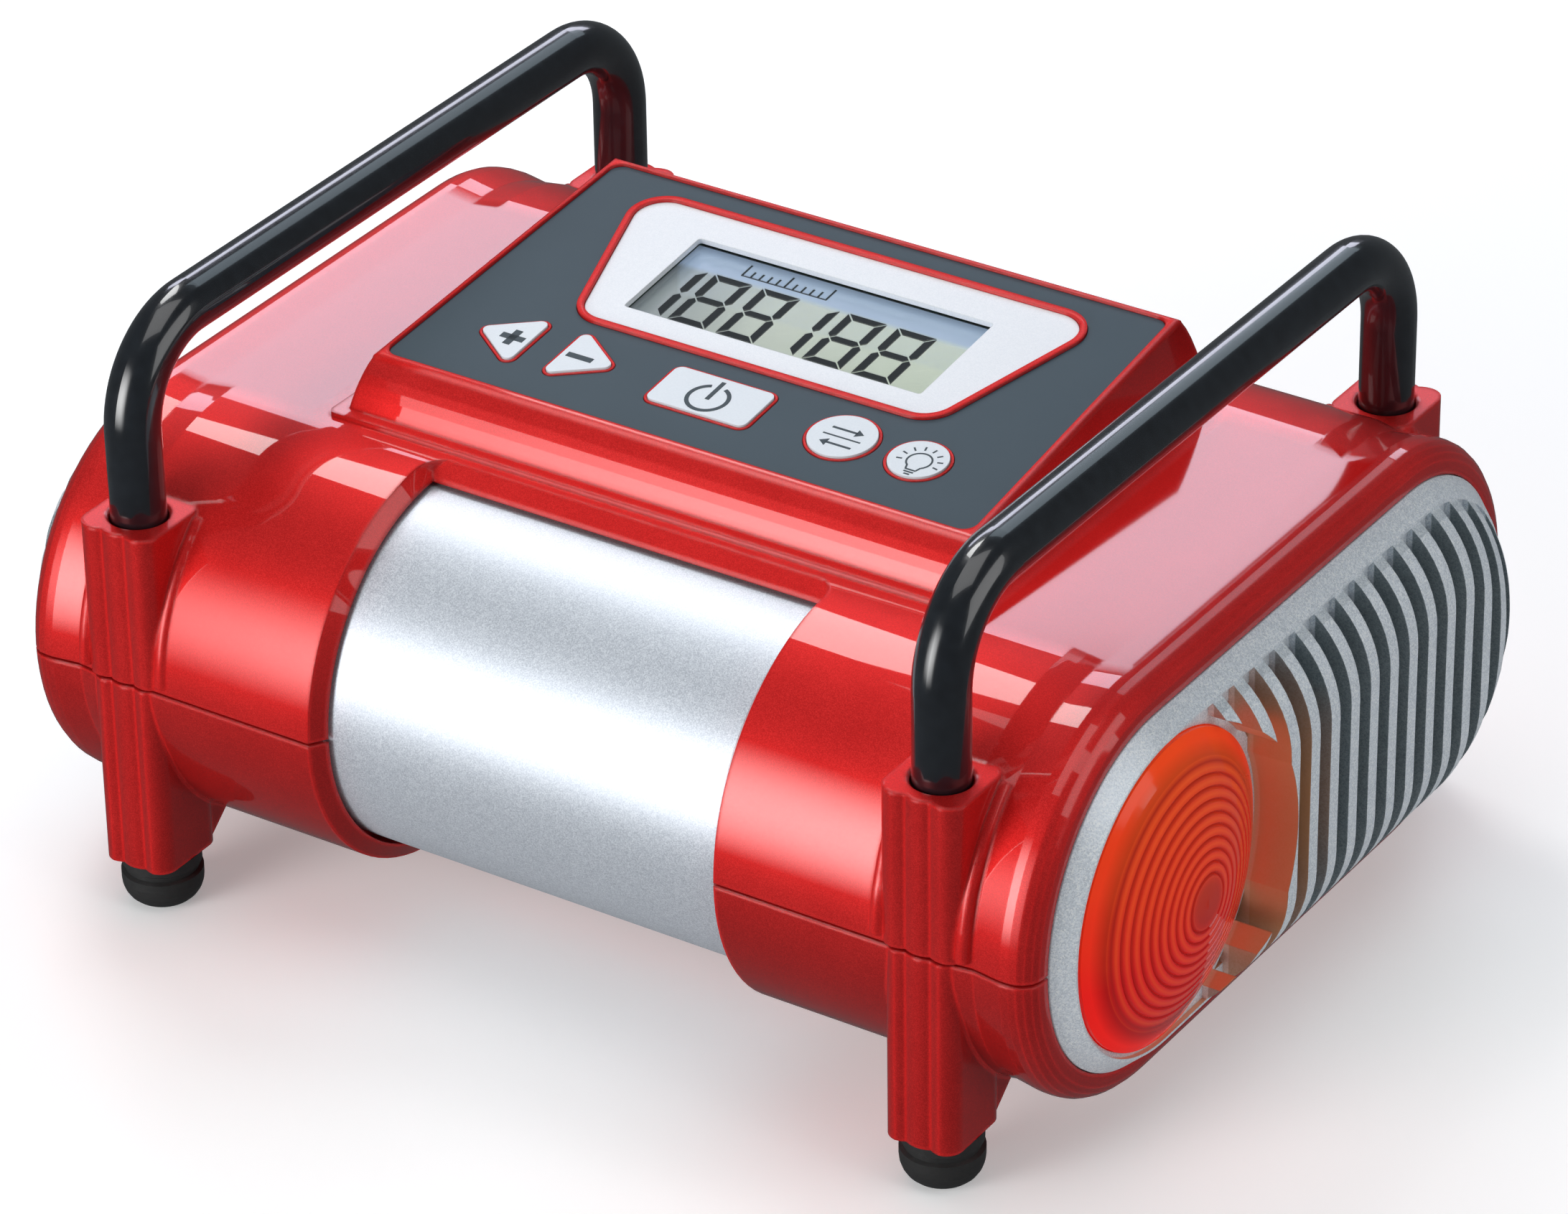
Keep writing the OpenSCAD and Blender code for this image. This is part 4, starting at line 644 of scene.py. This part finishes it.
PLUS_ACROSS = ((-44.75, 13.85), (-39.95, 13.85))
PLUS_UP = ((-42.35, 11.55), (-42.35, 16.15))
MINUS_ACROSS = ((-30.8, 13.9), (-25.5, 13.9))
POWER_RING = (-1.05, 13.4)
POWER_BAR = ((-1.05, 13.0), (-1.05, 18.7))

print_on("plus_sign", [bar(*PLUS_ACROSS, 1.5), bar(*PLUS_UP, 1.5)],
    "plus_button", INK, "plus")
print_on("minus_sign", [bar(*MINUS_ACROSS, 1.35)], "minus_button", INK, "minus")
print_on("power_sign", arc(POWER_RING, 3.72, 0.78, 112, 428, 40) + [bar(*POWER_BAR, 0.86)],
    "power_button", INK, "power")


def swap_arrow(tail, tip, level):
    """Outlines of a level arrow, its shaft and its head."""
    back = 1.5 if tip > tail else -1.5
    return [bar((tail, level), (tip - back * 0.8, level), 0.5),
        [(tip, level), (tip - back, level + 1.05), (tip - back, level - 1.05)]]


UNIT_RULE = ((22.4, 13.7), (29.9, 13.7))
ARROW_LEFT = 23.0
ARROW_RIGHT = 29.3

print_on("unit_sign", [bar(*UNIT_RULE, 0.34)] + swap_arrow(ARROW_LEFT, ARROW_RIGHT, 15.9)
    + swap_arrow(ARROW_RIGHT, ARROW_LEFT, 11.5), "unit_button", INK, "unit")

BULB = (41.75, 13.75)
BULB_LINE = 0.34
RAY_LINE = 0.32
RAYS = 8
RAY_TURN = 29
FIRST_RAY = -12

bulb_lines = arc(BULB, 2.25, BULB_LINE, -52, 232, 32)
for start, end in (((40.4, 12.0), (40.75, 10.9)), ((43.1, 12.0), (42.75, 10.9)),
        ((40.7, 10.85), (42.8, 10.85)), ((40.8, 10.2), (42.7, 10.2)), ((41.2, 9.55), (42.3, 9.55))):
    bulb_lines.append(bar(start, end, BULB_LINE))
for i in range(RAYS):
    turn = math.radians(FIRST_RAY + i * RAY_TURN)
    ray = Vector((math.cos(turn), math.sin(turn)))
    bulb_lines.append(bar(Vector(BULB) + ray * 3.15, Vector(BULB) + ray * 4.2, RAY_LINE))
print_on("light_sign", bulb_lines, "light_button", INK, "light")


# ---------- camera, light and floor ----------

IMAGE_W = 2184                       # pixels
FOCAL_PX = 9844.03
CAMERA_AZ = math.radians(33.484)
CAMERA_EL = math.radians(30.460)
CAMERA_ROLL = math.radians(-0.865)
CAMERA_BACK = 1217.09                # millimetres along the camera's own axes
CAMERA_RIGHT = 2.10
CAMERA_UP = -64.72
CAMERA_LIFT = 122.67                 # and straight up


def camera_axes():
    """The camera's right, up and back before its roll."""
    back = Vector((math.sin(CAMERA_AZ) * math.cos(CAMERA_EL),
        -math.cos(CAMERA_AZ) * math.cos(CAMERA_EL), math.sin(CAMERA_EL)))
    right = Vector((math.cos(CAMERA_AZ), math.sin(CAMERA_AZ), 0.0))
    return right, back.cross(right), back


def add_camera():
    right, up, back = camera_axes()
    place = back * CAMERA_BACK + right * CAMERA_RIGHT + up * CAMERA_UP + Vector((0, 0, CAMERA_LIFT))
    turned_right = right * math.cos(CAMERA_ROLL) + up * math.sin(CAMERA_ROLL)
    turned_up = up * math.cos(CAMERA_ROLL) - right * math.sin(CAMERA_ROLL)
    data = bpy.data.cameras.new("camera")
    data.sensor_fit = "HORIZONTAL"
    data.sensor_width = 36.0
    data.lens = FOCAL_PX * data.sensor_width / IMAGE_W
    data.clip_end = 20.0
    camera = bpy.data.objects.new("camera", data)
    camera.matrix_world = Matrix((
        (turned_right.x, turned_up.x, back.x, place.x * MM),
        (turned_right.y, turned_up.y, back.y, place.y * MM),
        (turned_right.z, turned_up.z, back.z, place.z * MM),
        (0, 0, 0, 1)))
    bpy.context.collection.objects.link(camera)
    bpy.context.scene.camera = camera


FADE = 1.5                           # the higher, the sooner a soft panel fades
AIM_Z = 0.07                         # the panels face this height


def fade_out(data):
    """Makes a light panel fade softly from its middle to its edges."""
    f = NodeTree(data, "ShaderNodeOutputLight")
    across = f.node("ShaderNodeNewGeometry", out="Parametric")
    level = 1.0
    for which in (0, 1):
        place = f.node("ShaderNodeSeparateXYZ", None, {0: across}, which)
        level = level * (place * (1.0 - place) * 4.0) ** FADE
    f.surface(f.node("ShaderNodeEmission", None, {"Strength": level}))


def add_softbox(name, direction, distance, width, height, brightness, colour=(1, 1, 1), soft=False):
    """A light panel that faces the object; brightness 1 shows as white."""
    data = bpy.data.lights.new(name, "AREA")
    data.shape = "RECTANGLE"
    data.size = width
    data.size_y = height
    data.energy = brightness * math.pi * width * height
    data.color = colour
    if soft:
        fade_out(data)
    light = bpy.data.objects.new(name, data)
    towards = Vector(direction).normalized()
    light.location = towards * distance + Vector((0, 0, AIM_Z))
    light.rotation_euler = towards.to_track_quat("Z", "Y").to_euler()
    bpy.context.collection.objects.link(light)


def add_studio():
    """Floor, dim room and light panels."""
    floor_mesh = bpy.data.meshes.new("studio_floor")
    half = 3.0
    floor_mesh.from_pydata([(-half, -half, 0), (half, -half, 0), (half, half, 0), (-half, half, 0)],
        [], [(0, 1, 2, 3)])
    floor_mesh.materials.append(studio_floor())
    floor = bpy.data.objects.new("studio_floor", floor_mesh)
    bpy.context.collection.objects.link(floor)
    floor.visible_glossy = False
    world = bpy.data.worlds.new("studio")
    world.use_nodes = True
    background = world.node_tree.nodes["Background"]
    background.inputs["Color"].default_value = (0.88, 0.95, 1.0, 1.0)
    background.inputs["Strength"].default_value = 0.10
    bpy.context.scene.world = world
    bpy.context.scene.view_settings.view_transform = "Standard"
    add_softbox("back_strip", (-0.476, 0.719, 0.486), 1.2, 1.0, 0.19, 4.6, (0.83, 0.84, 1.0))
    add_softbox("back_glow", (-0.08, 0.72, 0.69), 1.3, 0.6, 0.5, 1.3, (0.72, 0.88, 1.0))
    add_softbox("upper_left", (-0.476, 0.31, 0.82), 1.2, 0.36, 0.42, 7.4)
    add_softbox("front_left", (-0.34, -0.93, 0.17), 1.2, 0.90, 1.18, 8.9, soft=True)
    add_softbox("overhead", (0.05, -0.1, 1.0), 1.3, 1.1, 0.9, 1.5)
    add_softbox("right_fill", (1.0, 0.15, 0.42), 1.3, 1.0, 0.8, 1.7)


add_camera()
add_studio()
